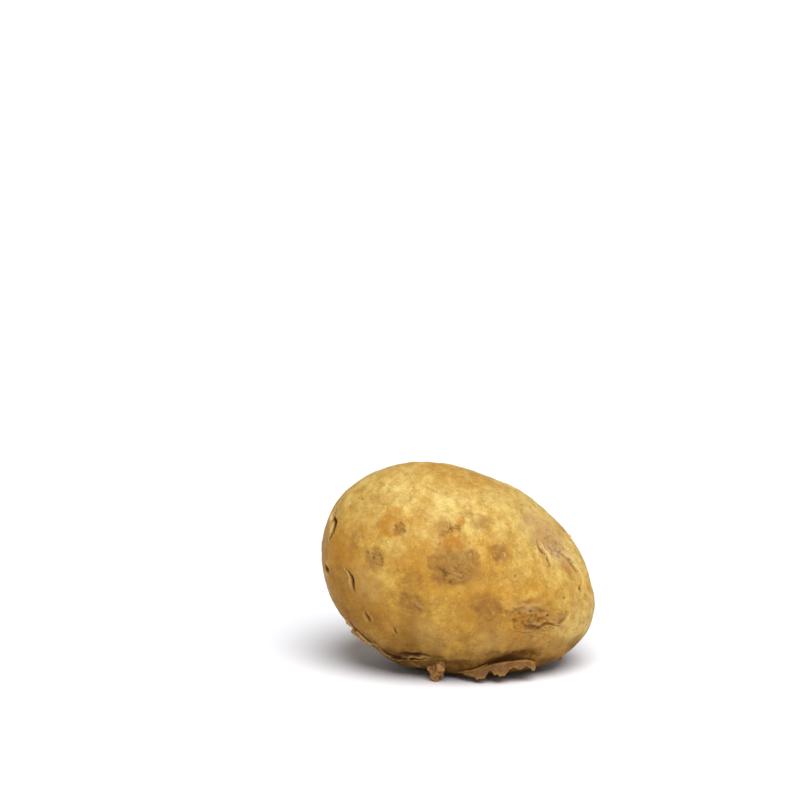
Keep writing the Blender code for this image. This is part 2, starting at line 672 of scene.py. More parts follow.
@dataclass
class SkinRelief:
    """The relief and stains that cover all of the tuber, with painted shade on the underside and painted
    light on the top.

    Args:
        dimple: height of the shallow dimples.
        dimple_spacing: how far apart they are.
        bump: height of the small bumps between them.
        bump_spacing: how far apart they are.
        wrinkle: height of the small wrinkles.
        wrinkle_spacing: how far apart they are.
        grain: height of the finest grain.
        grain_spacing: how far apart its grains are.
        pore_count: how many pores there are.
        pore_height: height of the rim round a pore.
        seed: gives the same skin each time.
    """

    WRINKLED_PATCHES = 13.0 * MM
    PORELESS_PATCHES = 15.0 * MM
    SOIL_AND_SHADE_SPACING = 7.0 * MM
    PAINTED_LIGHT_SPACING = 9.0 * MM

    dimple: float = 0.28 * MM
    dimple_spacing: float = 9.0 * MM
    bump: float = 0.10 * MM
    bump_spacing: float = 3.6 * MM
    wrinkle: float = 0.07 * MM
    wrinkle_spacing: float = 2.6 * MM
    grain: float = 0.030 * MM
    grain_spacing: float = 0.8 * MM
    pore_count: int = 520
    pore_height: float = 0.05 * MM
    seed: int = 11

    def press(self, skin: Skin, noise: SmoothNoise) -> None:
        """Press the all-over relief into the skin.

        Args:
            skin: the skin that is worked.
            noise: the noise that shapes it.
        """
        points = skin.points
        skin.height += self.dimple * noise.layered(points, self.dimple_spacing, 2)
        skin.height += self.bump * noise.layered(points + 0.7, self.bump_spacing, 2)
        folds = 1.0 - np.abs(noise.layered(points + 0.2, self.wrinkle_spacing, 2))
        patchy = eased(-0.25, 0.55, noise.at(points + 0.5, self.WRINKLED_PATCHES))
        skin.height += self.wrinkle * folds ** 2 * (0.35 + 0.65 * patchy)
        skin.height += self.grain * noise.layered(points, self.grain_spacing, 2)
        self.pores(skin, noise)
        self.soil_and_shade(skin, noise)

    def pores(self, skin: Skin, noise: SmoothNoise) -> None:
        """Scatter the small round pores over the skin.

        Args:
            skin: the skin that they are in.
            noise: thins them out in places.
        """
        draw = np.random.default_rng(self.seed)
        turns = math.pi * (3.0 - math.sqrt(5.0))
        for number in range(self.pore_count):
            level = 1.0 - 2.0 * (number + 0.5) / self.pore_count
            out = math.sqrt(1.0 - level * level)
            angle = number * turns
            direction = np.array((out * math.cos(angle), out * math.sin(angle), level))
            direction = unit(direction + draw.normal(scale=0.05, size=3))
            size = draw.uniform(0.22, 0.50) * MM
            strength = draw.uniform(0.25, 1.0)
            index = skin.ray_tree.find(Vector(direction))[1]
            centre = skin.points[index]
            if noise.at(centre[None, :], self.PORELESS_PATCHES)[0] < -0.35:
                continue
            indices = skin.near(centre, 2.5 * size)
            gap = np.linalg.norm(skin.points[indices] - centre, axis=1) / size
            rim = np.exp(-((gap - 1.1) / 0.5) ** 2)
            hollow = np.exp(-(gap / 0.7) ** 2)
            skin.height[indices] += self.pore_height * strength * (rim - 1.4 * hollow)
            skin.mark(Tint.PORE, indices, strength * np.exp(-gap ** 2))

    def soil_and_shade(self, skin: Skin, noise: SmoothNoise) -> None:
        """Darken the underside with soil stain and painted shade, and lighten the top with painted light.

        Args:
            skin: the skin that is stained.
            noise: makes the edges of both uneven.
        """
        everywhere = np.arange(len(skin.points))
        facing_down = -skin.outward[:, 2]
        uneven = 0.20 * noise.layered(skin.points, self.SOIL_AND_SHADE_SPACING, 4)
        # soil stain and painted shade: darker the more the skin faces down
        skin.mark(Tint.SOIL_AND_SHADE, everywhere, eased(0.24, 0.94, facing_down + uneven))
        # painted light: paler in patches, the more the skin faces up
        patchy = 0.45 * noise.layered(skin.points + 0.3, self.PAINTED_LIGHT_SPACING, 4)
        skin.mark(Tint.PAINTED_LIGHT, everywhere, eased(-0.10, 1.05, patchy - facing_down))


def places(pairs: Pairs) -> tuple[Place, ...]:
    """Return the places given as pairs of a share of the long axis and degrees up from the front."""
    return tuple(Place(along, around) for along, around in pairs)


def furrow(course: Pairs, width: float, depth: float, lip: float = 0.1, **rest: float | Tint) -> Furrow:
    """Make a furrow from sizes in millimetres."""
    return Furrow(places(course), width * MM, depth * MM, lip * MM, **rest)


def pit(along: float, around: float, radius: float, depth: float, rim: float, **rest: float) -> Pit:
    """Make a pit from sizes in millimetres."""
    return Pit(Place(along, around), radius * MM, depth * MM, rim * MM, **rest)


def blotch(tint: Tint, along: float, around: float, radius: float, strength: float, rough: float = 0.0,
           stretch: float = 1.0, **rest: float) -> Blotch:
    """Make a blotch from sizes in millimetres."""
    return Blotch(Place(along, around), radius * MM, tint, strength, rough * MM, stretch, **rest)


def crumple(along: float, around: float, length: float, height: float, relief: float, spacing: float,
            **rest: float) -> Crumple:
    """Make a crumpled area from sizes in millimetres."""
    return Crumple(Place(along, around), length * MM, height * MM, relief * MM, spacing * MM, **rest)


RIM_CRACK = ((-0.985, 38), (-0.98, 14), (-0.97, -3), (-0.96, -24))
RIM_STRIP = ((-0.99, 34), (-0.98, 2), (-0.97, -18), (-0.96, -34))
SLIT = ((-0.84, -26), (-0.81, -28), (-0.785, -31), (-0.755, -37))
STRIP_CRACK = ((-0.64, -65), (-0.58, -64), (-0.51, -65), (-0.46, -64))
FOLD_CRACK = ((-0.38, -62), (-0.35, -64), (-0.31, -65), (-0.25, -64), (-0.22, -61))
FOLD_END = ((-0.24, -61), (-0.20, -56), (-0.13, -53), (-0.08, -50), (0.01, -49))

FRONT_FURROWS = (
    furrow(RIM_CRACK, 0.9, 0.7, 0.20, lean=-0.8, dark=1.0, pale=0.7, waver=2.2, shade=0.8),
    furrow(((-0.93, -56), (-0.90, -49)), 0.9, 0.5, dark=1.0, pale=0.6, shade=1.0),
    furrow(SLIT, 0.55, 0.60, 0.12, lean=-0.8, dark=1.0, pale=0.25, shade=0.9),
    furrow(((-0.64, -42), (-0.60, -45), (-0.57, -47)), 0.60, 0.4, dark=0.7, waver=1.2),
    furrow(((-0.41, -39), (-0.38, -40.5), (-0.35, -42)), 0.45, 0.3, dark=0.8),
    furrow(STRIP_CRACK, 0.80, 0.6, 0.3, lean=-0.7, dark=1.0, pale=0.7, waver=1.2, shade=1.1),
    furrow(((-0.38, -70), (-0.26, -72), (-0.14, -71), (0.0, -64)),
           1.9, -0.9, 0.0, dark=0.0, pale=0.0, waver=0.3),
    furrow(FOLD_CRACK, 0.90, 0.8, 0.30, lean=-0.8, dark=1.0, pale=0.4, waver=1.0, shade=1.6),
    furrow(FOLD_END, 0.70, 0.7, 0.25, lean=-0.8, dark=1.0, pale=0.3, waver=1.5, shade=1.5),
    furrow(((0.63, 51), (0.68, 48), (0.73, 44), (0.76, 39)),
           0.85, 0.75, 0.30, lean=0.6, dark=0.9, pale=0.7, waver=1.6),
    furrow(((0.80, 60), (0.84, 61), (0.88, 61), (0.92, 55), (0.935, 46), (0.935, 36)),
           0.85, 0.45, 0.14, lean=0.6, dark=0.50, pale=0.5, waver=1.2),
    furrow(((0.51, -7), (0.54, -3), (0.60, -1), (0.68, 1), (0.77, 2)),
           0.75, 0.28, 0.08, lean=0.6, dark=0.36, pale=0.25, waver=1.1),
    furrow(((0.57, 0), (0.64, 4), (0.73, 9)), 1.1, 0.12, 0.14, lean=-0.5, dark=0.1, pale=0.45, waver=0.8),
    furrow(((0.88, 7), (0.88, 2), (0.86, -6), (0.85, -10)),
           0.85, 0.35, 0.10, lean=0.4, dark=0.48, pale=0.25, waver=1.0),
    furrow(((0.64, -11), (0.71, -13), (0.79, -12), (0.82, -9), (0.87, -9)),
           0.80, 0.42, 0.12, lean=0.3, dark=0.55, pale=0.30, waver=1.0, shade=0.9),
    furrow(((0.60, -15), (0.69, -16), (0.77, -16), (0.82, -15), (0.83, -20)),
           0.60, 0.18, 0.08, lean=0.5, dark=0.30, pale=0.25, waver=1.9),
    # painted shadow in the hollow above the belly blade, and a painted dark shadow line along its upper edge
    furrow(((0.42, -49), (0.52, -43), (0.63, -38.5), (0.73, -37), (0.79, -40)),
           2.2, 1.5, 0.0, dark=1.0, pale=0.0, waver=0.7, shade=1.4, tint=Tint.SOIL_AND_SHADE),
    furrow(((0.40, -54), (0.54, -45.5), (0.65, -42), (0.77, -42)),
           1.0, 0.4, 0.0, dark=0.8, pale=0.0, waver=0.4, shade=1.3),
    # painted shade in a broad band along the blade's upper edge
    furrow(((0.08, -56), (0.20, -50), (0.32, -46), (0.46, -44)),
           3.4, 0.35, 0.0, dark=1.0, pale=0.0, waver=0.5, shade=0.8, tint=Tint.SOIL_AND_SHADE),
)

CRUMPLES = (
    crumple(0.71, -6, 11.5, 5.6, 0.24, 2.1, dark=0.36, pale=0.35),
    crumple(0.76, -19, 5.0, 2.6, 0.14, 1.5, dark=0.45, pale=0.3),
    crumple(-0.16, 6, 4.6, 2.6, 0.12, 1.6, dark=0.55, pale=0.2),
    crumple(0.24, 27, 2.6, 2.2, 0.12, 1.3, dark=0.6, pale=0.3),
    crumple(-0.28, 34, 3.0, 5.0, 0.12, 1.6, dark=0.5, pale=0.4),
    crumple(-0.67, 21, 2.6, 1.8, 0.10, 1.5, dark=0.6, pale=0.3),
    crumple(-0.74, -4, 3.2, 2.4, 0.12, 1.5, dark=0.6, pale=0.3),
    crumple(-0.36, -19, 3.6, 2.4, 0.10, 1.4, dark=0.4, pale=0.3),
    crumple(0.76, 58, 5.5, 4.0, 0.10, 1.6, dark=0.5, pale=0.3),
    crumple(-0.58, -62, 8.0, 2.6, 0.20, 1.6, dark=0.8, pale=0.5),
    crumple(-0.20, -62, 8.0, 2.6, 0.20, 1.5, dark=0.7, pale=0.3),
)

FRONT_PITS = (
    pit(0.66, -1, 0.60, 0.50, 0.12, dark=0.9, stretch=0.7),
    pit(0.80, -2, 0.50, 0.40, 0.12, dark=0.8),
    pit(0.72, -3, 0.45, 0.30, 0.08, dark=0.6),
    pit(0.59, -4, 0.55, 0.40, 0.15, dark=0.5),
    pit(0.76, -8, 0.55, 0.35, 0.15, dark=0.4),
    pit(0.67, -8, 0.60, 0.35, 0.15, dark=0.3),
    pit(-0.90, 41, 0.45, 0.20, 0.05, dark=0.9),
    pit(0.47, 18, 0.42, 0.22, 0.04, dark=0.9),
    pit(0.86, 17, 0.55, 0.30, 0.05, dark=0.9),
    pit(-0.75, -4, 0.60, 0.35, 0.10, dark=0.6),
    pit(-0.70, -2, 0.50, 0.30, 0.10, dark=0.6),
    pit(-0.79, -3, 0.50, 0.25, 0.08, dark=0.5),
    pit(0.935, 38, 0.60, 0.50, 0.05, dark=1.0, stretch=1.5),
    pit(0.765, 39, 0.60, 0.40, 0.10, dark=0.8),
    pit(0.63, 53, 0.50, 0.30, 0.10, dark=0.5),
    pit(-0.13, 1, 0.55, 0.22, 0.06, dark=0.5),
)

FRONT_BLOTCHES = (
    blotch(Tint.SCURF, -0.25, 7, 4.2, 0.95, 0.07, veins=0.5),
    blotch(Tint.SCURF, -0.06, 14, 4.5, 0.90, 0.07, veins=0.3),
    blotch(Tint.SCURF, -0.14, 5, 3.2, 1.0, 0.07, veins=0.7),
    blotch(Tint.SCURF, -0.13, 10, 5.6, 0.80, 0.04, stretch=1.3, ragged=0.22, soft=0.30),
    blotch(Tint.SCURF, 0.0, 18, 2.6, 0.75, 0.05),
    blotch(Tint.SCURF, -0.36, 31, 3.2, 0.60, 0.06, 0.8, veins=0.3),
    blotch(Tint.RUST, -0.22, 24, 3.4, 1.0, 0.04),
    blotch(Tint.SCURF, -0.05, 42, 2.8, 0.55, 0.04, 1.5),
    blotch(Tint.RUST, -0.22, 38, 1.8, 0.90, 0.05, 0.7, veins=0.5),
    blotch(Tint.RUST, -0.72, 24, 4.4, 0.85, 0.04),
    blotch(Tint.SCURF, -0.66, 21, 1.9, 0.90, 0.05, veins=0.5),
    blotch(Tint.RUST, -0.56, 27, 3.0, 0.50),
    blotch(Tint.SCURF, -0.74, -4, 3.2, 0.75, 0.05, veins=0.4),
    blotch(Tint.SCURF, -0.87, 2, 3.4, 0.60, 0.03, 0.5),
    blotch(Tint.SCURF, -0.85, -40, 4.6, 0.45, 0.03, soft=0.5),
    blotch(Tint.SCURF, -0.44, -6, 2.8, 0.65, 0.04),
    blotch(Tint.SCURF, -0.36, -19, 3.3, 0.85, 0.07, 1.2, veins=0.3),
    blotch(Tint.SCURF, -0.24, -30, 3.4, 0.45, 0.04, 1.4, soft=0.4),
    blotch(Tint.SCURF, 0.33, -6, 3.7, 0.90, 0.05, 1.2, veins=0.3),
    blotch(Tint.SCURF, 0.22, -4, 3.0, 0.65, 0.05),
    blotch(Tint.SCURF, 0.36, -17, 2.8, 0.60, 0.04),
    blotch(Tint.SCURF, 0.25, 27, 3.2, 0.85, 0.06, veins=0.4),
    blotch(Tint.BLOOM, 0.66, 68, 5.5, 0.85, 0.05, 1.5, soft=0.8),
    blotch(Tint.BLOOM, 0.78, 60, 4.8, 0.95, 0.06, 1.3, soft=0.7, veins=0.4),
    blotch(Tint.SCURF, 0.73, 62, 2.4, 0.40, 0.05, soft=0.5, veins=0.3),
    blotch(Tint.SCURF, 0.81, 64, 1.8, 0.50, 0.05, soft=0.5, veins=0.3),
    blotch(Tint.RUST, 0.71, 48, 3.0, 0.90, 0.06),
    blotch(Tint.RUST, 0.87, 50, 2.0, 0.90, 0.05, soft=0.5),
    blotch(Tint.SCURF, 0.90, 46, 1.6, 0.5, 0.05, soft=0.6, veins=0.5),
    # painted light: paler lit patches on the lower front
    blotch(Tint.PALE, -0.72, -23, 6.0, 0.34, soft=0.8),
    blotch(Tint.PALE, -0.10, -33, 5.0, 0.22, soft=0.8),
    blotch(Tint.PALE, 0.47, -27, 5.0, 0.22, soft=0.8),
    blotch(Tint.PALE, 0.86, -23, 4.0, 0.25, soft=0.8),
    blotch(Tint.RUST, 0.25, 27, 4.5, 0.60, soft=0.6),
    blotch(Tint.RUST, 0.12, -25, 4.5, 0.30, soft=0.6),
    blotch(Tint.RUST, 0.68, -6, 5.4, 1.0, 0.08, 1.5, soft=0.4),
    blotch(Tint.SCURF, 0.66, -1, 1.9, 0.80, 0.08, 1.8),
    blotch(Tint.SCURF, 0.86, -2, 1.7, 0.80, 0.08),
    blotch(Tint.SCURF, 0.74, -11, 2.0, 0.65, 0.08, 2.4),
    # painted shade over the lower left, in the rust and underside colours
    blotch(Tint.RUST, -0.90, -34, 13.0, 0.80, soft=0.7),
    blotch(Tint.RUST, -0.72, -46, 12.0, 0.80, soft=0.7),
    blotch(Tint.SOIL_AND_SHADE, -0.66, -56, 11.0, 0.35, soft=0.8),
    blotch(Tint.RUST, -0.37, -47, 10.0, 0.38, soft=0.6),
    # painted shade under the belly, in the underside colour
    blotch(Tint.SOIL_AND_SHADE, -0.18, -73, 6.5, 1.0, stretch=1.8, soft=0.4),
    blotch(Tint.SOIL_AND_SHADE, 0.18, -76, 8.5, 1.0, stretch=1.8, soft=0.4),
    blotch(Tint.SOIL_AND_SHADE, 0.24, -54, 5.4, 1.0, stretch=2.4, soft=0.6),
    blotch(Tint.SCURF, 0.71, -6, 5.2, 0.55, stretch=1.8, soft=0.6),
    # painted light
    blotch(Tint.PAINTED_LIGHT, -0.88, 14, 6.0, 0.5, soft=0.7),
    # painted shade under the belly, in the underside colour
    blotch(Tint.SOIL_AND_SHADE, -0.42, -75, 5.0, 1.0, stretch=1.8, soft=0.5),
    blotch(Tint.SOIL_AND_SHADE, -0.10, -68, 4.0, 0.9, stretch=2.2, soft=0.5),
    # painted highlight on the top near the nose
    blotch(Tint.PAINTED_LIGHT, 0.88, 72, 5.0, 1.0, stretch=1.6, soft=0.7),
    blotch(Tint.RUST, 0.50, 13, 8.5, 0.48, soft=0.7),
    blotch(Tint.RUST, 0.25, -4, 7.5, 0.60, soft=0.7),
    blotch(Tint.RUST, -0.38, 77, 8.0, 0.75, stretch=2.0, soft=0.8),
    # painted light on the nose, the top left and the top
    blotch(Tint.PAINTED_LIGHT, 0.95, 5, 8.0, 0.9, soft=0.7),
    blotch(Tint.PAINTED_LIGHT, -0.75, 48, 11.0, 0.9, soft=0.7),
    blotch(Tint.PAINTED_LIGHT, 0.20, 55, 9.0, 0.9, stretch=1.6, soft=0.7),
    # painted shade low on the front and on the lower left, in the underside colour
    blotch(Tint.SOIL_AND_SHADE, 0.64, -39, 4.2, 0.95, stretch=2.6, soft=0.5),
    blotch(Tint.SOIL_AND_SHADE, -0.55, -68, 5.0, 0.50, stretch=2.0, soft=0.5),
    blotch(Tint.RUST, -0.45, 4, 9.0, 0.52, soft=0.6),
    blotch(Tint.SCURF, 0.50, -24, 4.0, 0.30, 0.04, soft=0.6),
    blotch(Tint.SCURF, 0.74, -28, 4.2, 0.55, 0.04, 1.6, soft=0.5),
    blotch(Tint.SCURF, 0.85, -26, 2.6, 0.50, 0.05, 1.3, soft=0.7, veins=0.4),
    blotch(Tint.SCURF, 0.64, -24, 1.8, 0.70, 0.04),
)


@dataclass
class HiddenSides:
    """Cracks, stains and eyes on the back, the top and the ends, laid out by seeded draws.

    Args:
        cracks: how many short cracks there are.
        blotches: how many stained patches there are.
        scuffs: how many crumpled patches there are.
        dots: how many dark pinholes there are.
        seed: gives the same layout each time.
    """

    cracks: int = 9
    blotches: int = 46
    scuffs: int = 7
    dots: int = 26
    seed: int = 23

    def place(self, draw: np.random.Generator) -> Place:
        """Return a place that the front marks leave free."""
        return Place(draw.uniform(-0.92, 0.92), draw.uniform(96.0, 258.0))

    def furrows(self) -> list[Furrow]:
        """Lay out the short curved cracks.

        Returns:
            The cracks.
        """
        draw = np.random.default_rng(self.seed)
        made = []
        for _ in range(self.cracks):
            start = self.place(draw)
            turn = draw.uniform(-6.0, 6.0)
            run = draw.uniform(0.02, 0.06) * draw.choice((-1.0, 1.0))
            middle = Place(np.clip(start.along + run, -0.95, 0.95), start.around + turn)
            last_turn = turn * draw.uniform(-0.5, 1.0)
            end = Place(np.clip(middle.along + run, -0.96, 0.96), middle.around + last_turn)
            width = draw.uniform(0.28, 0.45) * MM
            depth = draw.uniform(0.15, 0.40) * MM
            lean = draw.uniform(-0.8, 0.8)
            dark = draw.uniform(0.5, 0.9)
            made.append(Furrow((start, middle, end), width, depth, 0.07 * MM, lean, dark, waver=1.4))
        return made

    def crumples(self) -> list[Crumple]:
        """Lay out the crumpled patches.

        Returns:
            The patches.
        """
        draw = np.random.default_rng(self.seed + 2)
        made = []
        for _ in range(self.scuffs):
            length = draw.uniform(2.4, 5.5) * MM
            made.append(Crumple(self.place(draw), length, length * draw.uniform(0.5, 0.9),
                                draw.uniform(0.08, 0.16) * MM, dark=draw.uniform(0.5, 0.8)))
        return made

    def pits(self) -> list[Pit]:
        """Lay out the dark pinholes.

        Returns:
            The pinholes.
        """
        draw = np.random.default_rng(self.seed + 3)
        made = []
        for _ in range(self.dots):
            made.append(Pit(self.place(draw), draw.uniform(0.35, 0.60) * MM, draw.uniform(0.12, 0.30) * MM,
                            0.05 * MM, draw.uniform(0.4, 0.9)))
        return made

    def stains(self) -> list[Blotch]:
        """Lay out the stained and scurfy patches.

        Returns:
            The patches.
        """
        draw = np.random.default_rng(self.seed + 1)
        made = []
        for _ in range(self.blotches):
            tint = draw.choice((Tint.SCURF, Tint.SCURF, Tint.RUST))
            made.append(Blotch(self.place(draw), draw.uniform(1.4, 4.8) * MM, tint, draw.uniform(0.45, 0.95),
                               draw.uniform(0.03, 0.07) * MM, draw.uniform(0.8, 1.6),
                               veins=draw.uniform(0.0, 0.5)))
        return made

    def eyes(self) -> list[EyeFolds]:
        """Place the folds round the eyes that the solid has at the back and the top.

        Returns:
            The folds of each eye.
        """
        return [
            EyeFolds(Place(0.93, 118.0), 8.0 * MM, 2, 0.25 * MM),
            EyeFolds(Place(0.52, 142.0), 13.0 * MM),
            EyeFolds(Place(0.40, -138.0), 12.0 * MM),
            EyeFolds(Place(-0.18, 176.0), 13.0 * MM),
            EyeFolds(Place(-0.62, 122.0), 11.0 * MM, 2, 0.28 * MM),
        ]


@dataclass
class TuberSkin:
    """The whole skin of the tuber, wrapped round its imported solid.

    MARGIN is the gap round each flat patch, as a share of its side.

    Args:
        name: name of the piece.
        dip: angle by which the nose dips.
        steps: squares along one side of each of the six patches before they are split.
        softening: how often the wrapped points are evened out.
        halvings: how often each square is split in four.
    """

    MARGIN = 0.012

    name: str = "tuber_skin"
    dip: float = math.radians(20.6)
    steps: int = 48
    softening: int = 7
    halvings: int = 2

    def build(self, finish: TuberFinish) -> Skin:
        """Wrap, work and dress the skin.

        Args:
            finish: what it is dressed with.

        Returns:
            The worked skin, on which the flakes are laid.
        """
        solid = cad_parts[NODE]
        low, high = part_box(NODE)
        centre = (np.array(low) + np.array(high)) / 2.0
        wrapped = self.wrap(solid, centre)
        mesh = self.refine(wrapped)
        skin = Skin(mesh, centre, self.dip)
        self.work(skin)
        piece = placed(self.name, mesh)
        mesh.materials.append(finish.material())
        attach(piece, "root")
        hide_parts(NODE)
        LOG.info("%s: %d points", piece.name, len(mesh.vertices))
        return skin

    def wrap(self, solid: bpy.types.Object, centre: np.ndarray) -> bpy.types.Object:
        """Wrap six square patches round the solid.

        Args:
            solid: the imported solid.
            centre: the point that the patches are spread from.

        Returns:
            A coarse object on the solid's surface, with its patches laid out flat for painting.
        """
        grid = bmesh.new()
        bmesh.ops.create_cube(grid, size=2.0)
        bmesh.ops.subdivide_edges(grid, edges=grid.edges[:], cuts=self.steps - 1, use_grid_fill=True)
        self.lay_out(grid)
        verts = [vertex.co for vertex in solid.data.vertices]
        faces = [tuple(polygon.vertices) for polygon in solid.data.polygons]
        surface = BVHTree.FromPolygons(verts, faces)
        for vert in grid.verts:
            spread = Vector([math.tan(value * math.pi / 4.0) for value in vert.co]).normalized()
            vert.co = surface.ray_cast(Vector(centre), spread)[0]
        mesh = bpy.data.meshes.new("wrapped")
        grid.to_mesh(mesh)
        grid.free()
        return placed("wrapped", mesh)

    def lay_out(self, grid: bmesh.types.BMesh) -> None:
        """Lay the six patches side by side on one sheet, three across and two down.

        Args:
            grid: the cube whose sides are the patches.
        """
        sheet = grid.loops.layers.uv.new("OFBake")
        margin = self.MARGIN
        for face in grid.faces:
            middle = face.calc_center_median()
            axis = max(range(3), key=lambda number: abs(middle[number]))
            cell = 2 * axis + int(middle[axis] > 0.0)
            column, row = cell % 3, cell // 3
            side_axes = [number for number in range(3) if number != axis]
            for loop in face.loops:
                across, up = (margin + (1.0 - 2.0 * margin) * (loop.vert.co[number] + 1.0) / 2.0
                              for number in side_axes)
                loop[sheet].uv = ((column + across) / 3.0, (row + up) / 2.0)

    def refine(self, wrapped: bpy.types.Object) -> bpy.types.Mesh:
        """Even out the wrapped points and split each square, to melt the solid's facets away.

        Args:
            wrapped: the coarse object, which is used up.

        Returns:
            The fine, smooth mesh.
        """
        even = wrapped.modifiers.new("even", "SMOOTH")
        even.factor = 0.5
        even.iterations = self.softening
        split = wrapped.modifiers.new("split", "SUBSURF")
        split.levels = self.halvings
        split.render_levels = self.halvings
        ready = wrapped.evaluated_get(bpy.context.evaluated_depsgraph_get())
        mesh = bpy.data.meshes.new_from_object(ready)
        mesh.name = self.name
        mesh.shade_smooth()
        bpy.data.objects.remove(wrapped, do_unlink=True)
        return mesh

    def work(self, skin: Skin) -> None:
        """Press every mark into the skin, one kind after the other.

        Args:
            skin: the skin that is worked.
        """
        noise = SmoothNoise(5)
        hidden = HiddenSides()
        marks = (SkinRelief(), *FRONT_BLOTCHES, *hidden.stains(), *CRUMPLES, *hidden.crumples(),
                 *hidden.eyes(), *FRONT_FURROWS, *hidden.furrows(), *FRONT_PITS, *hidden.pits())
        for mark in marks:
            mark.press(skin, noise)
        skin.settle()


@dataclass(frozen=True)
class PeelFlake:
    """A thin strip of loose skin, still attached along one edge and curling off at the other.

    Args:
        name: name of the piece.
        course: the places its attached edge runs through.
        reach: how far it spreads from that edge, where it is widest.
        side: 1 if it spreads to the left of the way the course runs, seen from outside, or -1.
        rise: angle in degrees between the strip and the skin where it starts.
        curl: angle in degrees by which it bends further up to its free edge.
        ragged: how uneven its free edge is, as a share of its reach.
        thickness: how thick the strip is.
        seed: gives the same edge each time.
        blunt: small for an even strip with blunt ends, 1 for one that narrows to both ends.
    """

    POINT_SPACING = 0.22 * MM
    ROW_SPACING = 0.2 * MM
    FLOOR_GAP = 0.12 * MM
    ROOT_DEPTH = 0.12 * MM
    ROOT_SETBACK = 0.15 * MM
    JAG_SPACING = 1.5 * MM
    SWAY_SPACING = 2.2 * MM
    SWAY_SHIFT = 0.15 * MM
    CRUMPLE_SPACING = 0.9 * MM
    CRUMPLE_HEIGHT = 0.14 * MM

    name: str
    course: tuple[Place, ...]
    reach: float
    side: int = 1
    rise: float = 20.0
    curl: float = 40.0
    ragged: float = 0.35
    thickness: float = 0.16 * MM
    seed: int = 1
    blunt: float = 0.5

    def sheet(self, skin: Skin) -> np.ndarray:
        """Bend the middle of the strip.

        Args:
            skin: the skin that it is still attached to.

        Returns:
            Rows of points, from its attached edge to its free one.
        """
        noise = SmoothNoise(self.seed)
        path = skin.path(self.course, self.POINT_SPACING)
        nearest = skin.nearest(path)
        root = skin.points[nearest]
        outward = unit(skin.outward[nearest])
        travel = unit(np.gradient(path, axis=0))
        spread = unit(np.cross(outward, travel)) * self.side
        share = np.linspace(0.0, 1.0, len(path))
        body = np.clip(np.sin(math.pi * share), 0.0, 1.0) ** self.blunt
        jag = 1.0 + self.ragged * noise.layered(root, self.JAG_SPACING, 3)
        width = self.reach * body * np.clip(jag, 0.25, 1.8)
        rows = max(6, int(self.reach / self.ROW_SPACING))
        base = root - outward * self.ROOT_DEPTH - spread * self.ROOT_SETBACK
        line = [base]
        for row in range(rows):
            angle = math.radians(self.rise + self.curl * row / rows)
            sway = 0.25 * noise.at(root + row * self.SWAY_SHIFT, self.SWAY_SPACING)
            lean = angle + sway
            step = spread * np.cos(lean)[:, None] + outward * np.sin(lean)[:, None]
            line.append(line[-1] + step * (width / rows)[:, None])
        points = np.array(line)
        crumple = noise.layered(points.reshape(-1, 3), self.CRUMPLE_SPACING, 2).reshape(points.shape[:2])
        fade = np.linspace(0.0, 1.0, rows + 1)[:, None]
        points = points + outward[None, :, :] * (crumple * fade * self.CRUMPLE_HEIGHT)[:, :, None]
        points[:, :, 2] = np.maximum(points[:, :, 2], self.FLOOR_GAP)
        return points

    def build(self, skin: Skin, finish: FlakeFinish) -> None:
        """Make the strip and lay it on the skin.

        Args:
            skin: the skin that it is laid on.
            finish: what it is dressed with.
        """
        points = self.sheet(skin)
        free = np.linspace(0.0, 1.0, len(points))
        dress(self.name, thin_solid(self.name, points, self.thickness, free), finish.material())


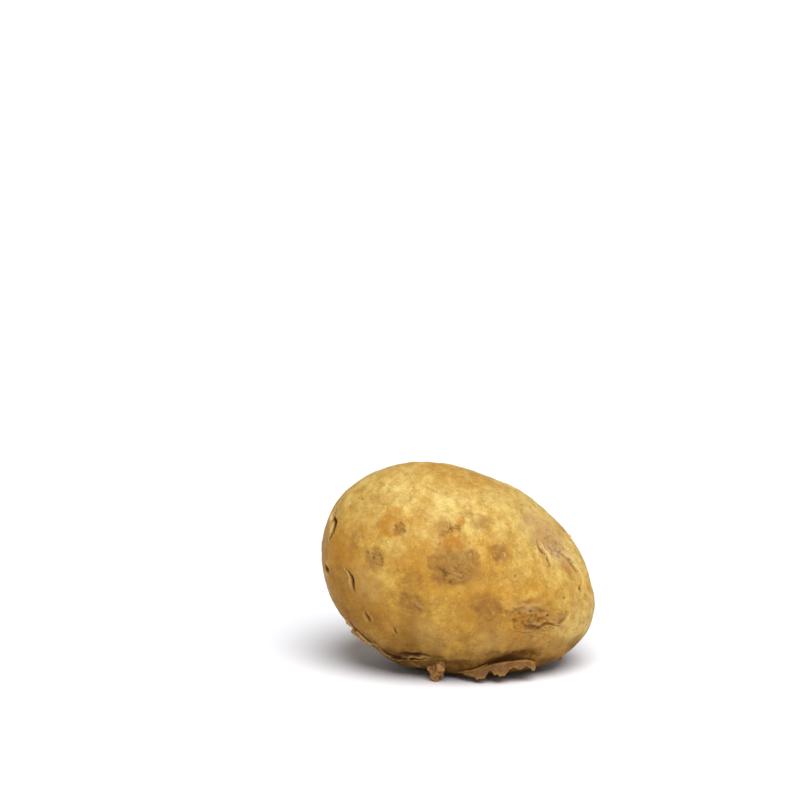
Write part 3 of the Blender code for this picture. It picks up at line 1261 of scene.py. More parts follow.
@dataclass(frozen=True)
class HangingSheet:
    """A torn sheet of loose skin that hangs off the tuber's belly toward the floor.

    PALENESS says how pale it is at the shares of its drop in PALENESS_AT: a painted highlight along its upper
    edge, darker below, and paler again at its lower edge.

    Args:
        name: name of the piece.
        course: the places behind its upper edge.
        lifts: how far the upper edge stands off the skin at each of them.
        drops: how far it hangs down at evenly spaced points of that edge.
        flare: how far it swings out as it goes down, as a share of the drop.
        ragged: how uneven its lower edge is, from 0 to 1.
        tooth: how far apart its ragged teeth are.
        tuck: how far below its upper edge it grows out of the skin.
        thickness: how thick it is.
        seed: gives the same edge each time.
    """

    ROWS = 20
    SHELF_ROWS = 6
    POINT_SPACING = 0.2 * MM
    FLOOR_GAP = 0.14 * MM
    EDGE_GAP = 0.25 * MM
    ROOT_DEPTH = 0.3 * MM
    WANDER_SPACING = 2.4 * MM
    WANDER_HEIGHT = 0.14 * MM
    JAG_SPACING = 0.8 * MM
    CRUMPLE_SPACING = 1.6 * MM
    CRUMPLE_HEIGHT = 0.16 * MM
    SHELF_PALENESS = 0.4
    PALENESS_AT = (0.0, 0.15, 0.6, 1.0)
    PALENESS = (1.0, 0.3, 0.2, 0.8)

    name: str
    course: tuple[Place, ...]
    lifts: tuple[float, ...]
    drops: tuple[float, ...]
    flare: float = 0.12
    ragged: float = 0.18
    tooth: float = 2.2 * MM
    tuck: float = 1.3 * MM
    thickness: float = 0.25 * MM
    seed: int = 1

    def sheet(self, skin: Skin) -> np.ndarray:
        """Hang the middle of the sheet.

        Args:
            skin: the skin that it hangs on.

        Returns:
            Rows of points, from the skin over its upper edge to its lower one.
        """
        noise = SmoothNoise(self.seed)
        spots = [skin.spot(place) for place in self.course]
        knots = np.array([spot.point + spot.outward * lift for spot, lift in zip(spots, self.lifts)])
        path = smooth_path(knots, self.POINT_SPACING)
        share = np.linspace(0.0, 1.0, len(path))
        marks = np.linspace(0.0, 1.0, len(self.drops))
        out = unit(skin.outward[skin.nearest(path)] * (1.0, 1.0, 0.0))
        wander = noise.at(path, self.WANDER_SPACING) * self.WANDER_HEIGHT
        path = path + np.array((0.0, 0.0, 1.0)) * wander[:, None]
        teeth = eased(-0.22, 0.22, noise.at(path * (1.0, 0.3, 0.3), self.tooth))
        jag = 1.0 - self.ragged * (1.0 - teeth) + 0.16 * noise.layered(path, self.JAG_SPACING, 2)
        drop = np.interp(share, marks, self.drops) * np.clip(jag, 0.2, 1.2)
        drop = np.minimum(drop, path[:, 2] - self.EDGE_GAP)
        down = np.linspace(0.0, 1.0, self.ROWS)[:, None, None]
        swing = out * (drop * self.flare)[:, None]
        fall = np.array((0.0, 0.0, -1.0)) * drop[:, None]
        bow = out[None, :, :] * (0.18 * drop[None, :, None]) * np.sin(math.pi * down)
        points = path[None, :, :] + (swing + fall)[None, :, :] * down + bow
        crumple = noise.layered(points.reshape(-1, 3), self.CRUMPLE_SPACING, 3).reshape(points.shape[:2])
        points = points + out[None, :, :] * (crumple * self.CRUMPLE_HEIGHT)[:, :, None]
        points = np.concatenate((self.shelf(skin, points[0]), points))
        points[:, :, 2] = np.maximum(points[:, :, 2], self.FLOOR_GAP)
        return points

    def shelf(self, skin: Skin, edge: np.ndarray) -> np.ndarray:
        """Return the rows that join the upper edge to the skin behind it.

        Args:
            skin: the skin that the sheet hangs on.
            edge: the points of the upper edge.

        Returns:
            Rows of points, from the skin out to just short of the edge.
        """
        rooted = skin.nearest(edge - np.array((0.0, 0.0, self.tuck)))
        root = skin.points[rooted] - skin.outward[rooted] * self.ROOT_DEPTH
        share = np.linspace(0.0, 1.0, self.SHELF_ROWS, endpoint=False)[:, None, None]
        return root[None, :, :] * (1.0 - share) + edge[None, :, :] * share

    def build(self, skin: Skin, finish: FlakeFinish) -> None:
        """Make the sheet and hang it on the skin.

        Args:
            skin: the skin that it hangs on.
            finish: what it is dressed with.
        """
        # a painted highlight along the sheet's upper edge, darker below it
        hanging = np.interp(np.linspace(0.0, 1.0, self.ROWS), self.PALENESS_AT, self.PALENESS)
        free = np.concatenate((np.full(self.SHELF_ROWS, self.SHELF_PALENESS), hanging))
        dress(self.name, thin_solid(self.name, self.sheet(skin), self.thickness, free), finish.material())


def thin_solid(name: str, points: np.ndarray, thickness: float, free: np.ndarray) -> bpy.types.Mesh:
    """Make a thin closed solid round a sheet.

    Args:
        name: name of the mesh.
        points: the middle of the sheet, in rows of points from its root to its free edge.
        thickness: how thick it is at its root; its free edge is thinner.
        free: how pale each row is, from 0 to 1.

    Returns:
        The mesh, which knows at each point how pale it is.
    """
    rows, columns = points.shape[:2]
    normals = unit(np.cross(np.gradient(points, axis=1), np.gradient(points, axis=0)))
    edge = np.linspace(1.0, 0.35, rows)[:, None, None]
    half = normals * thickness / 2.0 * edge
    corners = np.concatenate(((points + half).reshape(-1, 3), (points - half).reshape(-1, 3)))
    corners[:, 2] = np.maximum(corners[:, 2], 0.0)
    count = rows * columns
    faces = []
    for row in range(rows - 1):
        for column in range(columns - 1):
            first = row * columns + column
            quad = (first, first + 1, first + columns + 1, first + columns)
            faces.append(quad)
            faces.append(tuple(number + count for number in reversed(quad)))
    rim = [*range(columns), *(row * columns + columns - 1 for row in range(1, rows)),
           *(count - 1 - number for number in range(1, columns)),
           *(row * columns for row in range(rows - 2, 0, -1))]
    for here, there in zip(rim, rim[1:] + rim[:1]):
        faces.append((there, here, here + count, there + count))
    mesh = bpy.data.meshes.new(name)
    mesh.from_pydata(corners.tolist(), [], faces)
    store(mesh, FREE_EDGE, np.tile(np.repeat(free, columns), 2))
    turned_out(mesh)
    mesh.shade_smooth()
    return mesh


def turned_out(mesh: bpy.types.Mesh) -> None:
    """Turn all faces of a closed mesh to face out.

    Args:
        mesh: the mesh, which is changed.
    """
    work = bmesh.new()
    work.from_mesh(mesh)
    bmesh.ops.recalc_face_normals(work, faces=work.faces[:])
    work.to_mesh(mesh)
    work.free()


def dress(name: str, mesh: bpy.types.Mesh, material: bpy.types.Material) -> None:
    """Make a small piece of skin from a mesh, dressed and riding on the tuber.

    Args:
        name: name of the piece.
        mesh: its shape.
        material: its finish.
    """
    piece = placed(name, mesh)
    mesh.materials.append(material)
    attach(piece, "root")
    LOG.info("%s: %d points", name, len(mesh.vertices))


@dataclass(frozen=True)
class Crumb:
    """A crumbly lump of dried earth and skin stuck to the tuber.

    The heights and spacings of its lumps and crumbs are shares of its half sizes.

    Args:
        name: name of the piece.
        place: where it is stuck.
        size: its half sizes along X, Y and Z.
        sink: how deep it sits in the skin, as a share of its half size.
        seed: gives the same lump each time.
    """

    SUBDIVISIONS = 5
    FLOOR_GAP = 0.05 * MM
    LUMP_SPACING = 0.75
    LUMP_HEIGHT = 0.42
    CRUMB_SPACING = 0.28
    CRUMB_HEIGHT = 0.20

    name: str
    place: Place
    size: Triple
    sink: float = 0.35
    seed: int = 3

    def build(self, skin: Skin, finish: FlakeFinish) -> None:
        """Make the lump and stick it to the skin.

        Args:
            skin: the skin that it is stuck to.
            finish: what it is dressed with.
        """
        spot = skin.spot(self.place)
        ball = bmesh.new()
        bmesh.ops.create_icosphere(ball, subdivisions=self.SUBDIVISIONS, radius=1.0)
        mesh = bpy.data.meshes.new(self.name)
        ball.to_mesh(mesh)
        ball.free()
        directions = points_of(mesh)
        noise = SmoothNoise(self.seed)
        lumps = 1.0 + self.LUMP_HEIGHT * noise.layered(directions, self.LUMP_SPACING, 4)
        crumbs = self.CRUMB_HEIGHT * np.abs(noise.layered(directions + 3.0, self.CRUMB_SPACING, 2))
        shape = directions * (lumps + crumbs)[:, None] * np.array(self.size)
        centre = spot.point + spot.outward * self.size[1] * (1.0 - self.sink)
        points = centre + shape
        points[:, 2] = np.maximum(points[:, 2], self.FLOOR_GAP)
        mesh.vertices.foreach_set("co", points.ravel())
        store(mesh, FREE_EDGE, np.clip((lumps - 0.7) / 0.8, 0.0, 1.0))
        mesh.shade_smooth()
        dress(self.name, mesh, finish.material())


def flake(name: str, course: Pairs, reach: float, thickness: float = 0.16, **rest: float) -> PeelFlake:
    """Make a strip of loose skin from sizes in millimetres."""
    return PeelFlake(name, places(course), reach * MM, thickness=thickness * MM, **rest)


def sheet(name: str, course: Pairs, lifts: tuple[float, ...], drops: tuple[float, ...],
          seed: int) -> HangingSheet:
    """Make a hanging sheet of loose skin from sizes in millimetres."""
    lifts, drops = (tuple(size * MM for size in sizes) for sizes in (lifts, drops))
    return HangingSheet(name, places(course), lifts, drops, seed=seed)


PEEL_FLAKES = (
    flake("stem_end_strip", RIM_STRIP, 1.1, rise=6, curl=8, ragged=1.0, seed=2, blunt=0.35, thickness=0.22),
    flake("slit_flap", ((-0.865, -27), (-0.84, -29.5), (-0.815, -33), (-0.785, -38)),
          1.2, rise=9, curl=12, ragged=0.35, seed=3),
    flake("low_strip", ((-0.73, -59), (-0.68, -62), (-0.62, -65), (-0.56, -67), (-0.48, -69)),
          1.8, side=-1, rise=28, curl=-6, ragged=0.45, seed=5, blunt=0.4, thickness=0.3),
    flake("low_scale_a", ((-0.68, -65), (-0.63, -66), (-0.58, -67)),
          1.0, rise=16, curl=25, ragged=0.7, seed=6),
    flake("low_scale_b", ((-0.74, -56), (-0.71, -58), (-0.68, -60)),
          1.0, rise=14, curl=25, ragged=0.7, seed=16),
    flake("lower_fold",
          ((-0.37, -69), (-0.30, -68), (-0.23, -66), (-0.15, -62.5), (-0.08, -58.5), (0.0, -53)),
          1.7, rise=20, curl=18, ragged=0.80, seed=4, blunt=0.45, thickness=0.22),
    flake("brow_flake", ((0.64, 51), (0.69, 48), (0.74, 44)), 1.1, rise=25, curl=70, ragged=0.6, seed=9),
    flake("arc_flake", ((0.86, 63), (0.90, 60), (0.925, 54), (0.935, 46)),
          0.9, rise=15, curl=30, ragged=0.6, seed=15),
    flake("nose_nub", ((0.80, 91), (0.82, 89), (0.84, 86)),
          1.2, rise=50, curl=20, ragged=0.5, seed=17, thickness=0.25),
    flake("eye_flake_a", ((0.80, -13), (0.83, -11), (0.85, -12)), 0.9, rise=30, curl=60, ragged=0.5, seed=10),
    flake("eye_flake_b", ((0.84, -9), (0.86, -8), (0.88, -9)), 0.8, rise=30, curl=60, ragged=0.5, seed=11),
    flake("scurf_curl_a", ((-0.40, 22), (-0.375, 20), (-0.345, 21), (-0.325, 24)),
          0.7, side=-1, rise=20, curl=60, ragged=0.4, seed=12),
    flake("scurf_curl_b", ((-0.335, 35), (-0.322, 31), (-0.335, 27)),
          0.65, rise=20, curl=60, ragged=0.4, seed=13),
    flake("patch_curl", ((0.28, 28), (0.305, 29), (0.32, 26)), 0.6, rise=22, curl=70, ragged=0.4, seed=14),
)

BLADE_LIFTS = (0.0, 0.5, 0.9, 1.2, 1.3, 1.1, 0.5)
BLADE_DROPS = (0.4, 0.6, 0.7, 0.9, 1.1, 1.5, 3.3, 3.5, 1.4, 3.5, 3.9, 3.3, 1.7, 2.7, 1.8, 3.0, 2.2)

HANGING_SHEETS = (
    sheet("belly_blade",
          ((0.33, -69), (0.38, -57), (0.43, -51), (0.54, -45), (0.65, -41.5), (0.74, -40.5), (0.79, -44)),
          BLADE_LIFTS, BLADE_DROPS, seed=7),
    sheet("belly_blade_inner", ((0.29, -58), (0.35, -54), (0.42, -50), (0.50, -47)),
          (0.0, 0.5, 0.6, 0.3), (0.5, 1.1, 1.4, 0.8), seed=8),
)

CRUMBS = (
    Crumb("earth_crumb", Place(0.11, -60), (2.1 * MM, 1.6 * MM, 2.5 * MM), seed=31),
    Crumb("earth_crumb_upper", Place(0.12, -54), (1.3 * MM, 1.0 * MM, 1.9 * MM), seed=33),
    Crumb("earth_crumb_small", Place(0.915, -62), (0.55 * MM, 0.5 * MM, 0.6 * MM), seed=32),
)


class Wiring:
    """Short ways to place and join shader nodes in one tree."""

    def __init__(self, tree: bpy.types.NodeTree) -> None:
        """Take the tree that is wired.

        Args:
            tree: the node tree of a material or of a group.
        """
        self.tree = tree

    def add(self, kind: str, settings: dict[str, object], inputs: dict[str | int, object]) -> bpy.types.Node:
        """Place one node.

        Args:
            kind: the node's type.
            settings: its own properties by name.
            inputs: its sockets by name or number, each with a value or with the socket that feeds it.

        Returns:
            The placed node.
        """
        node = self.tree.nodes.new(kind)
        for key, value in settings.items():
            setattr(node, key, value)
        for key, value in inputs.items():
            if isinstance(value, bpy.types.NodeSocket):
                self.tree.links.new(value, node.inputs[key])
            else:
                node.inputs[key].default_value = value
        return node

    def mix(self, share: object, below: object, above: object) -> bpy.types.NodeSocket:
        """Return one colour laid over another, of which so much shows."""
        inputs = {0: share, 6: below, 7: above}
        return self.add("ShaderNodeMix", {"data_type": "RGBA"}, inputs).outputs[2]

    def math(self, kind: str, first: object, second: object, clamp: bool = False) -> bpy.types.NodeSocket:
        """Return the result of one sum on two values."""
        settings = {"operation": kind, "use_clamp": clamp}
        return self.add("ShaderNodeMath", settings, {0: first, 1: second}).outputs[0]

    def scaled(self, value: object, share: object) -> bpy.types.NodeSocket:
        """Return a value times another."""
        return self.math("MULTIPLY", value, share)

    def rest(self, value: object) -> bpy.types.NodeSocket:
        """Return what a value leaves of one."""
        return self.math("SUBTRACT", 1.0, value)

    def stretch(self, way: object, share: object) -> bpy.types.NodeSocket:
        """Return a vector times a value."""
        settings = {"operation": "SCALE"}
        return self.add("ShaderNodeVectorMath", settings, {0: way, "Scale": share}).outputs[0]

    def ramp(self, value: object, low: float, high: float) -> bpy.types.NodeSocket:
        """Go smoothly from 0 to 1.

        Args:
            value: what is compared with the two ends.
            low: where the rise starts.
            high: where it ends.

        Returns:
            A value from 0 to 1.
        """
        settings = {"interpolation_type": "SMOOTHSTEP"}
        inputs = {"Value": value, "From Min": low, "From Max": high}
        return self.add("ShaderNodeMapRange", settings, inputs).outputs[0]

    def noise(self, where: object, scale: float, detail: float, rough: float = 0.55) -> bpy.types.NodeSocket:
        """Return noise from 0 to 1, with so many lumps to the metre."""
        inputs = {"Vector": where, "Scale": scale, "Detail": detail, "Roughness": rough}
        return self.add("ShaderNodeTexNoise", {}, inputs).outputs[0]

    def mark(self, name: str) -> bpy.types.NodeSocket:
        """Return a value that the mesh carries at each point."""
        return self.add("ShaderNodeAttribute", {"attribute_name": name}, {}).outputs["Fac"]

    def place(self) -> bpy.types.NodeSocket:
        """Return the place on the piece, in metres."""
        return self.add("ShaderNodeTexCoord", {}, {}).outputs["Object"]

    def group(self, tree: bpy.types.NodeTree, inputs: dict[str, object]) -> bpy.types.NodeOutputs:
        """Place a node group and return its outputs."""
        return self.add("ShaderNodeGroup", {"node_tree": tree}, inputs).outputs

    def feed(self, node: bpy.types.Node, name: str, value: bpy.types.NodeSocket) -> None:
        """Join a value to the socket of a node that it feeds."""
        self.tree.links.new(value, node.inputs[name])

    def relief(self, shader: bpy.types.Node, height: bpy.types.NodeSocket, strength: float,
               depth: float) -> None:
        """Give a shader a fine relief.

        Args:
            shader: the shader.
            height: the height of the relief.
            strength: how strong it is, from 0 to 1.
            depth: how deep it is.
        """
        inputs = {"Strength": strength, "Distance": depth, "Height": height}
        self.feed(shader, "Normal", self.add("ShaderNodeBump", {}, inputs).outputs[0])


def new_group(name: str, inputs: dict[str, float], outputs: tuple[str, ...]) -> bpy.types.NodeTree:
    """Start a shader node group.

    Args:
        name: name of the group.
        inputs: its number inputs by name, each with its usual value; Place is always there.
        outputs: its number outputs by name.

    Returns:
        The empty group with its sockets.
    """
    group = bpy.data.node_groups.new(name, "ShaderNodeTree")
    group.interface.new_socket("Place", in_out="INPUT", socket_type="NodeSocketVector")
    for key, value in inputs.items():
        socket = group.interface.new_socket(key, in_out="INPUT", socket_type="NodeSocketFloat")
        socket.default_value = value
    for key in outputs:
        group.interface.new_socket(key, in_out="OUTPUT", socket_type="NodeSocketFloat")
    return group


class MottleGroup:
    """Uneven skin colour: broad clouds, small blotches and fine grains, each from 0 to 1.

    SPOTS gives for each kind the lumps to the metre, the detail and roughness of its noise, and the
    values of the noise between which it goes from 0 to 1.
    """

    NAME = "skin_mottle"
    SPOTS = {
        "Clouds": (55.0, 4.0, 0.55, 0.38, 0.62),
        "Blotches": (190.0, 6.0, 0.66, 0.38, 0.64),
        "Tints": (115.0, 5.0, 0.60, 0.37, 0.63),
        "Flecks": (400.0, 5.0, 0.62, 0.40, 0.66),
        "Grains": (1500.0, 4.0, 0.65, 0.34, 0.66),
    }

    @classmethod
    def tree(cls) -> bpy.types.NodeTree:
        """Build the group, once.

        Returns:
            The group.
        """
        if cls.NAME in bpy.data.node_groups:
            return bpy.data.node_groups[cls.NAME]
        group = new_group(cls.NAME, {"Fineness": 1.0}, tuple(cls.SPOTS))
        wires = Wiring(group)
        start = group.nodes.new("NodeGroupInput").outputs
        end = group.nodes.new("NodeGroupOutput")
        where = wires.stretch(start["Place"], start["Fineness"])
        for name, (scale, detail, rough, low, high) in cls.SPOTS.items():
            wires.feed(end, name, wires.ramp(wires.noise(where, scale, detail, rough), low, high))
        return group


class NetGroup:
    """The fine corky net and the specks of the skin, as masks and as a height."""

    NAME = "skin_net"

    CELLS_TO_THE_METRE = 1000.0
    SPECKS_TO_THE_METRE = 620.0
    WAVES_TO_THE_METRE = 600.0
    NET_PATCHES_TO_THE_METRE = 260.0
    SPECK_PATCHES_TO_THE_METRE = 420.0
    FINE_GRAINS_TO_THE_METRE = 2600.0
    COARSE_GRAINS_TO_THE_METRE = 800.0
    WARP = 1.4 * MM

    @classmethod
    def tree(cls) -> bpy.types.NodeTree:
        """Build the group, once.

        Returns:
            The group.
        """
        if cls.NAME in bpy.data.node_groups:
            return bpy.data.node_groups[cls.NAME]
        group = new_group(cls.NAME, {"Mesh Size": 1.0}, ("Net", "Specks", "Height"))
        wires = Wiring(group)
        start = group.nodes.new("NodeGroupInput").outputs
        end = group.nodes.new("NodeGroupOutput")
        place = start["Place"]
        waves = {"Vector": place, "Scale": cls.WAVES_TO_THE_METRE, "Detail": 2.0}
        shift = wires.stretch(wires.add("ShaderNodeTexNoise", {}, waves).outputs[1], cls.WARP)
        bent = wires.add("ShaderNodeVectorMath", {"operation": "ADD"}, {0: place, 1: shift}).outputs[0]
        scale = wires.math("DIVIDE", cls.CELLS_TO_THE_METRE, start["Mesh Size"])
        edges = cls.distance(wires, "DISTANCE_TO_EDGE", bent, scale)
        patchy = wires.ramp(wires.noise(place, cls.NET_PATCHES_TO_THE_METRE, 3.0), 0.38, 0.66)
        net = wires.scaled(wires.rest(wires.ramp(edges, 0.0, 0.30)), patchy)
        dots = cls.distance(wires, "F1", bent, cls.SPECKS_TO_THE_METRE)
        chosen = wires.ramp(wires.noise(place, cls.SPECK_PATCHES_TO_THE_METRE, 2.0), 0.56, 0.66)
        specks = wires.scaled(wires.rest(wires.ramp(dots, 0.10, 0.30)), chosen)
        fine = wires.scaled(wires.noise(place, cls.FINE_GRAINS_TO_THE_METRE, 3.0, 0.6), 0.35)
        coarse = wires.scaled(wires.noise(place, cls.COARSE_GRAINS_TO_THE_METRE, 4.0, 0.6), 0.65)
        height = wires.math("ADD", wires.math("ADD", fine, coarse), wires.scaled(net, 0.35))
        for name, value in (("Net", net), ("Specks", specks), ("Height", height)):
            wires.feed(end, name, value)
        return group

    @staticmethod
    def distance(wires: Wiring, feature: str, where: object, scale: object) -> bpy.types.NodeSocket:
        """Measure the distance to the edges or the middles of scattered cells.

        Args:
            wires: the wiring of the group.
            feature: what the distance is measured to.
            where: the place on the piece.
            scale: how many cells there are to the metre.

        Returns:
            The distance, as a share of a cell.
        """
        settings = {"feature": feature}
        inputs = {"Vector": where, "Scale": scale}
        return wires.add("ShaderNodeTexVoronoi", settings, inputs).outputs["Distance"]


def start_material(name: str) -> tuple[bpy.types.Material, Wiring, bpy.types.Node]:
    """Start a material with one Principled shader.

    Args:
        name: name of the material.

    Returns:
        The material, the wiring of its tree and the shader.
    """
    material = bpy.data.materials.new(name)
    material.use_nodes = True
    tree = material.node_tree
    tree.nodes.clear()
    wires = Wiring(tree)
    shader = wires.add("ShaderNodeBsdfPrincipled", {}, {})
    wires.feed(tree.nodes.new("ShaderNodeOutputMaterial"), "Surface", shader.outputs[0])
    return material, wires, shader


def let_light_in(shader: bpy.types.Node, weight: float, spread: Triple, depth: float) -> None:
    """Let a little light pass below the surface of a finish.

    Args:
        shader: the shader of the finish.
        weight: how much of the light goes in.
        spread: how far its red, green and blue travel, as shares of the depth.
        depth: how far they travel at most.
    """
    shader.inputs["Subsurface Weight"].default_value = weight
    shader.inputs["Subsurface Radius"].default_value = spread
    shader.inputs["Subsurface Scale"].default_value = depth


@dataclass(frozen=True)
class TuberFinish:
    """The thin yellow-brown skin with its stains, cracks and pores, and its painted shade and painted light.

    Args:
        golden: colour of the clean skin.
        straw: colour of its paler, yellower clouds.
        light: colour of its lightest grains.
        tan: colour of its browner clouds.
        deep: colour of its darkest blotches.
        scurf: colour of the grey-brown corky patches.
        rust: colour of the orange-brown stains.
        bloom: colour of the pinkish grey patches.
        painted_light: paler straw colour laid on the top and on lit patches, as painted light.
        crack_and_shade: dark colour at the bottom of a crack, also laid as painted shade in creases, pits and
            hollows.
        pale: colour of lifted skin, also laid as painted light on raised lips and lit patches.
        underside_brown: dark brown of the underside and under the belly: soil stain and painted shade.
        roughness: how dull the clean skin is.
    """

    golden: Colour = (0.640, 0.372, 0.056, 1.0)
    straw: Colour = (0.790, 0.580, 0.125, 1.0)
    light: Colour = (0.780, 0.500, 0.085, 1.0)
    tan: Colour = (0.455, 0.222, 0.030, 1.0)
    deep: Colour = (0.240, 0.105, 0.014, 1.0)
    scurf: Colour = (0.250, 0.112, 0.026, 1.0)
    rust: Colour = (0.400, 0.162, 0.008, 1.0)
    bloom: Colour = (0.420, 0.262, 0.140, 1.0)
    painted_light: Colour = (0.780, 0.630, 0.225, 1.0)
    crack_and_shade: Colour = (0.050, 0.015, 0.003, 1.0)
    pale: Colour = (0.700, 0.470, 0.170, 1.0)
    underside_brown: Colour = (0.074, 0.024, 0.002, 1.0)
    roughness: float = 0.46

    def material(self) -> bpy.types.Material:
        """Build the material of the tuber's skin.

        Returns:
            The material.
        """
        material, wires, shader = start_material("potato_skin_fine")
        place = wires.place()
        mottle = wires.group(MottleGroup.tree(), {"Place": place})
        net = wires.group(NetGroup.tree(), {"Place": place})
        marks = {tint: wires.mark(tint.value) for tint in Tint}
        # the painted light on the top calms the blotches and brings out the straw clouds
        lit_top_calm = wires.rest(wires.scaled(marks[Tint.PAINTED_LIGHT], 0.50))
        lit_top_straw = wires.math("ADD", 0.45, wires.scaled(marks[Tint.PAINTED_LIGHT], 0.55))
        layers = (
            (mottle["Clouds"], 0.85, self.tan),
            (wires.scaled(mottle["Tints"], lit_top_straw), 0.52, self.straw),
            # painted light on the top
            (marks[Tint.PAINTED_LIGHT], 0.76, self.painted_light),
            (wires.scaled(mottle["Blotches"], lit_top_calm), 0.76, self.tan),
            (mottle["Flecks"], 0.38, self.deep),
            (wires.rest(mottle["Grains"]), 0.18, self.light),
            (mottle["Grains"], 0.18, self.deep),
            (net["Net"], 0.30, self.deep),
            (net["Specks"], 0.60, self.deep),
            (marks[Tint.RUST], 0.86, self.rust),
            (marks[Tint.BLOOM], 0.75, self.bloom),
            (marks[Tint.SCURF], 0.85, self.scurf),
            # soil stain and painted shade on the underside
            (marks[Tint.SOIL_AND_SHADE], 0.90, self.underside_brown),
            (marks[Tint.PORE], 0.60, self.scurf),
            # lifted skin and painted light
            (marks[Tint.PALE], 0.80, self.pale),
            # crack colour and painted shade in hollows
            (marks[Tint.CRACK_AND_SHADE], 1.0, self.crack_and_shade),
        )
        colour = self.golden
        for mask, share, above in layers:
            colour = wires.mix(wires.scaled(mask, share), colour, above)
        wires.feed(shader, "Base Color", colour)
        dull_marks = {Tint.SCURF: 0.20, Tint.SOIL_AND_SHADE: 0.40, Tint.CRACK_AND_SHADE: 0.40}
        rough = wires.math("ADD", self.roughness, wires.scaled(mottle["Grains"], 0.16))
        for tint, share in dull_marks.items():
            rough = wires.math("ADD", rough, wires.scaled(marks[tint], share), clamp=True)
        wires.feed(shader, "Roughness", rough)
        wires.relief(shader, net["Height"], 0.9, 0.18 * MM)
        let_light_in(shader, 0.10, (1.0, 0.45, 0.15), 1.2 * MM)
        shader.inputs["Specular IOR Level"].default_value = 0.16
        return material


@dataclass(frozen=True)
class FlakeFinish:
    """Dry, papery loose skin, paler toward a strip's free edge, and along a hanging sheet's upper edge as a
    painted highlight.

    Args:
        name: name of the material.
        attached: colour where it is still attached.
        free: its paler colour, toward a free edge and along a hanging sheet's painted-lit upper edge.
        speck: colour of its dark specks.
        roughness: how dull it is.
    """

    name: str
    attached: Colour
    free: Colour
    speck: Colour
    roughness: float = 0.78

    def material(self) -> bpy.types.Material:
        """Build the material, once.

        Returns:
            The material.
        """
        if self.name in bpy.data.materials:
            return bpy.data.materials[self.name]
        material, wires, shader = start_material(self.name)
        place = wires.place()
        mottle = wires.group(MottleGroup.tree(), {"Place": place, "Fineness": 1.6})
        net = wires.group(NetGroup.tree(), {"Place": place, "Mesh Size": 0.8})
        share = wires.math("ADD", wires.mark(FREE_EDGE), wires.scaled(mottle["Blotches"], 0.5))
        colour = wires.mix(wires.ramp(share, 0.25, 1.25), self.attached, self.free)
        colour = wires.mix(wires.scaled(mottle["Grains"], 0.35), colour, self.attached)
        colour = wires.mix(wires.scaled(net["Specks"], 0.6), colour, self.speck)
        wires.feed(shader, "Base Color", colour)
        wires.relief(shader, net["Height"], 0.6, 0.15 * MM)
        let_light_in(shader, 0.25, (1.0, 0.5, 0.2), 1.0 * MM)
        shader.inputs["Roughness"].default_value = self.roughness
        return material


PALE_PEEL = FlakeFinish("peel_pale", (0.420, 0.215, 0.050, 1.0), (0.640, 0.410, 0.140, 1.0),
                        (0.22, 0.10, 0.03, 1.0))
BROWN_PEEL = FlakeFinish("peel_brown", (0.240, 0.112, 0.024, 1.0), (0.430, 0.230, 0.066, 1.0),
                         (0.10, 0.04, 0.01, 1.0))
BLADE_PEEL = FlakeFinish("peel_blade", (0.150, 0.062, 0.008, 1.0), (0.390, 0.200, 0.034, 1.0),
                         (0.10, 0.04, 0.01, 1.0))
DRY_EARTH = FlakeFinish("dry_earth", (0.240, 0.104, 0.020, 1.0), (0.470, 0.245, 0.058, 1.0),
                        (0.10, 0.05, 0.015, 1.0))
BROWN_FLAKES = ("lower_fold", "low_strip", "low_scale_a", "low_scale_b")


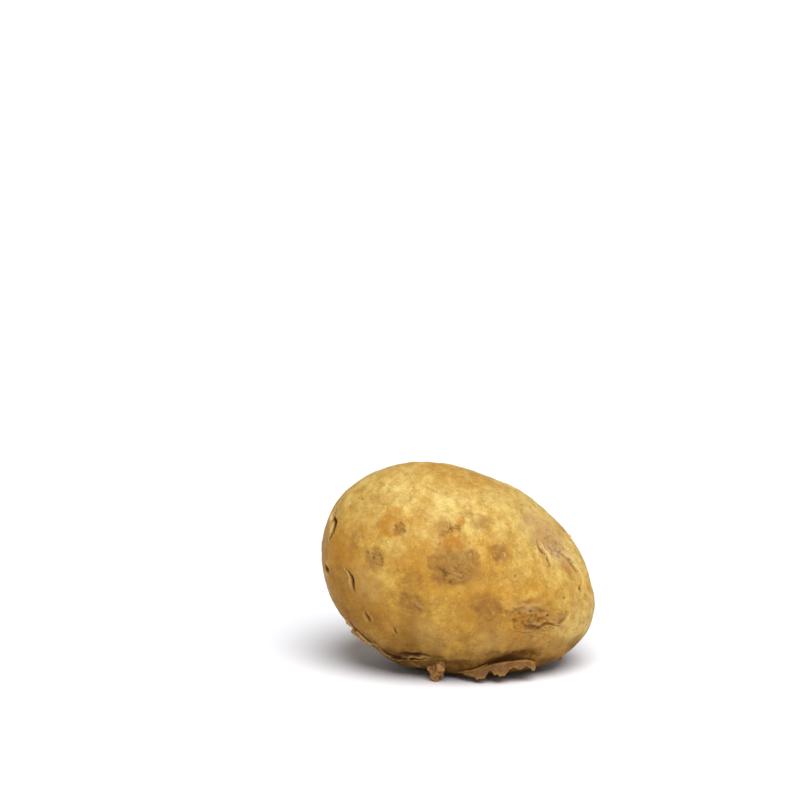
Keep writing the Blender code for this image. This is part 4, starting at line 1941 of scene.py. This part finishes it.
@dataclass(frozen=True)
class Studio:
    """The pale floor, the soft light and the camera.

    Args:
        aim: the point that the camera looks at.
        distance: how far the camera stands from it.
        pitch: angle in degrees by which it looks down.
        lens: focal length in millimetres.
        floor_half: half the width of the floor.
        floor_colour: colour of the floor.
        floor_roughness: how dull the floor is.
        key_power: power of the overhead light.
        key_spread: angle in degrees over which the overhead light spreads.
        key_place: the way up to the overhead light.
        sky: how much light the surroundings give.
        backdrop: how bright the surroundings look to the camera.
    """

    aim: Triple = (-0.01773, 0.0, 0.08245)
    distance: float = 0.667
    pitch: float = 10.0
    lens: float = 100.0
    floor_half: float = 4.0
    floor_colour: Colour = (0.90, 0.90, 0.93, 1.0)
    floor_roughness: float = 0.9
    key_power: float = 3.65
    key_spread: float = 44.0
    key_place: Triple = (0.16, -0.62, 1.0)
    sky: float = 0.265
    backdrop: float = 1.05

    def build(self) -> None:
        """Set up the floor, the light and the camera."""
        self.floor()
        self.light()
        self.camera()

    def floor(self) -> None:
        """Lay the pale floor."""
        half = self.floor_half
        mesh = bpy.data.meshes.new("floor")
        corners = [(-half, -half, 0), (half, -half, 0), (half, half, 0), (-half, half, 0)]
        mesh.from_pydata(corners, [], [(0, 1, 2, 3)])
        material, _, shader = start_material("pale_floor")
        shader.inputs["Base Color"].default_value = self.floor_colour
        shader.inputs["Roughness"].default_value = self.floor_roughness
        mesh.materials.append(material)
        ground = placed("floor", mesh)

    def light(self) -> None:
        """Hang the overhead light and set the surroundings."""
        lamp = bpy.data.lights.new("overhead", "SUN")
        lamp.angle = math.radians(self.key_spread)
        lamp.energy = self.key_power
        key = placed("overhead", lamp)
        key.location = self.key_place
        self.turn(key, Vector(self.key_place))
        world = bpy.data.worlds.new("studio")
        world.use_nodes = True
        wires = Wiring(world.node_tree)
        background = world.node_tree.nodes["Background"]
        background.inputs["Color"].default_value = (1.0, 1.0, 1.0, 1.0)
        straight = wires.add("ShaderNodeLightPath", {}, {}).outputs["Is Camera Ray"]
        extra = wires.scaled(straight, self.backdrop - self.sky)
        wires.feed(background, "Strength", wires.math("ADD", self.sky, extra))
        bpy.context.scene.world = world
        bpy.context.scene.view_settings.view_transform = "Standard"

    def camera(self) -> None:
        """Stand the camera in front of the tuber."""
        lens = bpy.data.cameras.new("camera")
        lens.lens = self.lens
        lens.clip_start = 0.01
        lens.clip_end = 20.0
        eye = placed("camera", lens)
        slope = math.radians(self.pitch)
        back = Vector((0.0, -math.cos(slope), math.sin(slope)))
        eye.location = Vector(self.aim) + back * self.distance
        self.turn(eye, back)
        bpy.context.scene.camera = eye

    @staticmethod
    def turn(thing: bpy.types.Object, back: Vector) -> None:
        """Turn a lamp or a camera so that its back points a given way."""
        thing.rotation_mode = "QUATERNION"
        thing.rotation_quaternion = back.to_track_quat("Z", "Y")


def main() -> None:
    """Build the skin, the flakes, the crumbs and the studio in order."""
    logging.basicConfig(level=logging.INFO, format="%(message)s")
    skin = TuberSkin().build(TuberFinish())
    for strip in PEEL_FLAKES:
        strip.build(skin, BROWN_PEEL if strip.name in BROWN_FLAKES else PALE_PEEL)
    for loose in HANGING_SHEETS:
        loose.build(skin, BLADE_PEEL)
    for crumb in CRUMBS:
        crumb.build(skin, DRY_EARTH)
    Studio().build()


if __name__ == "__main__":
    main()
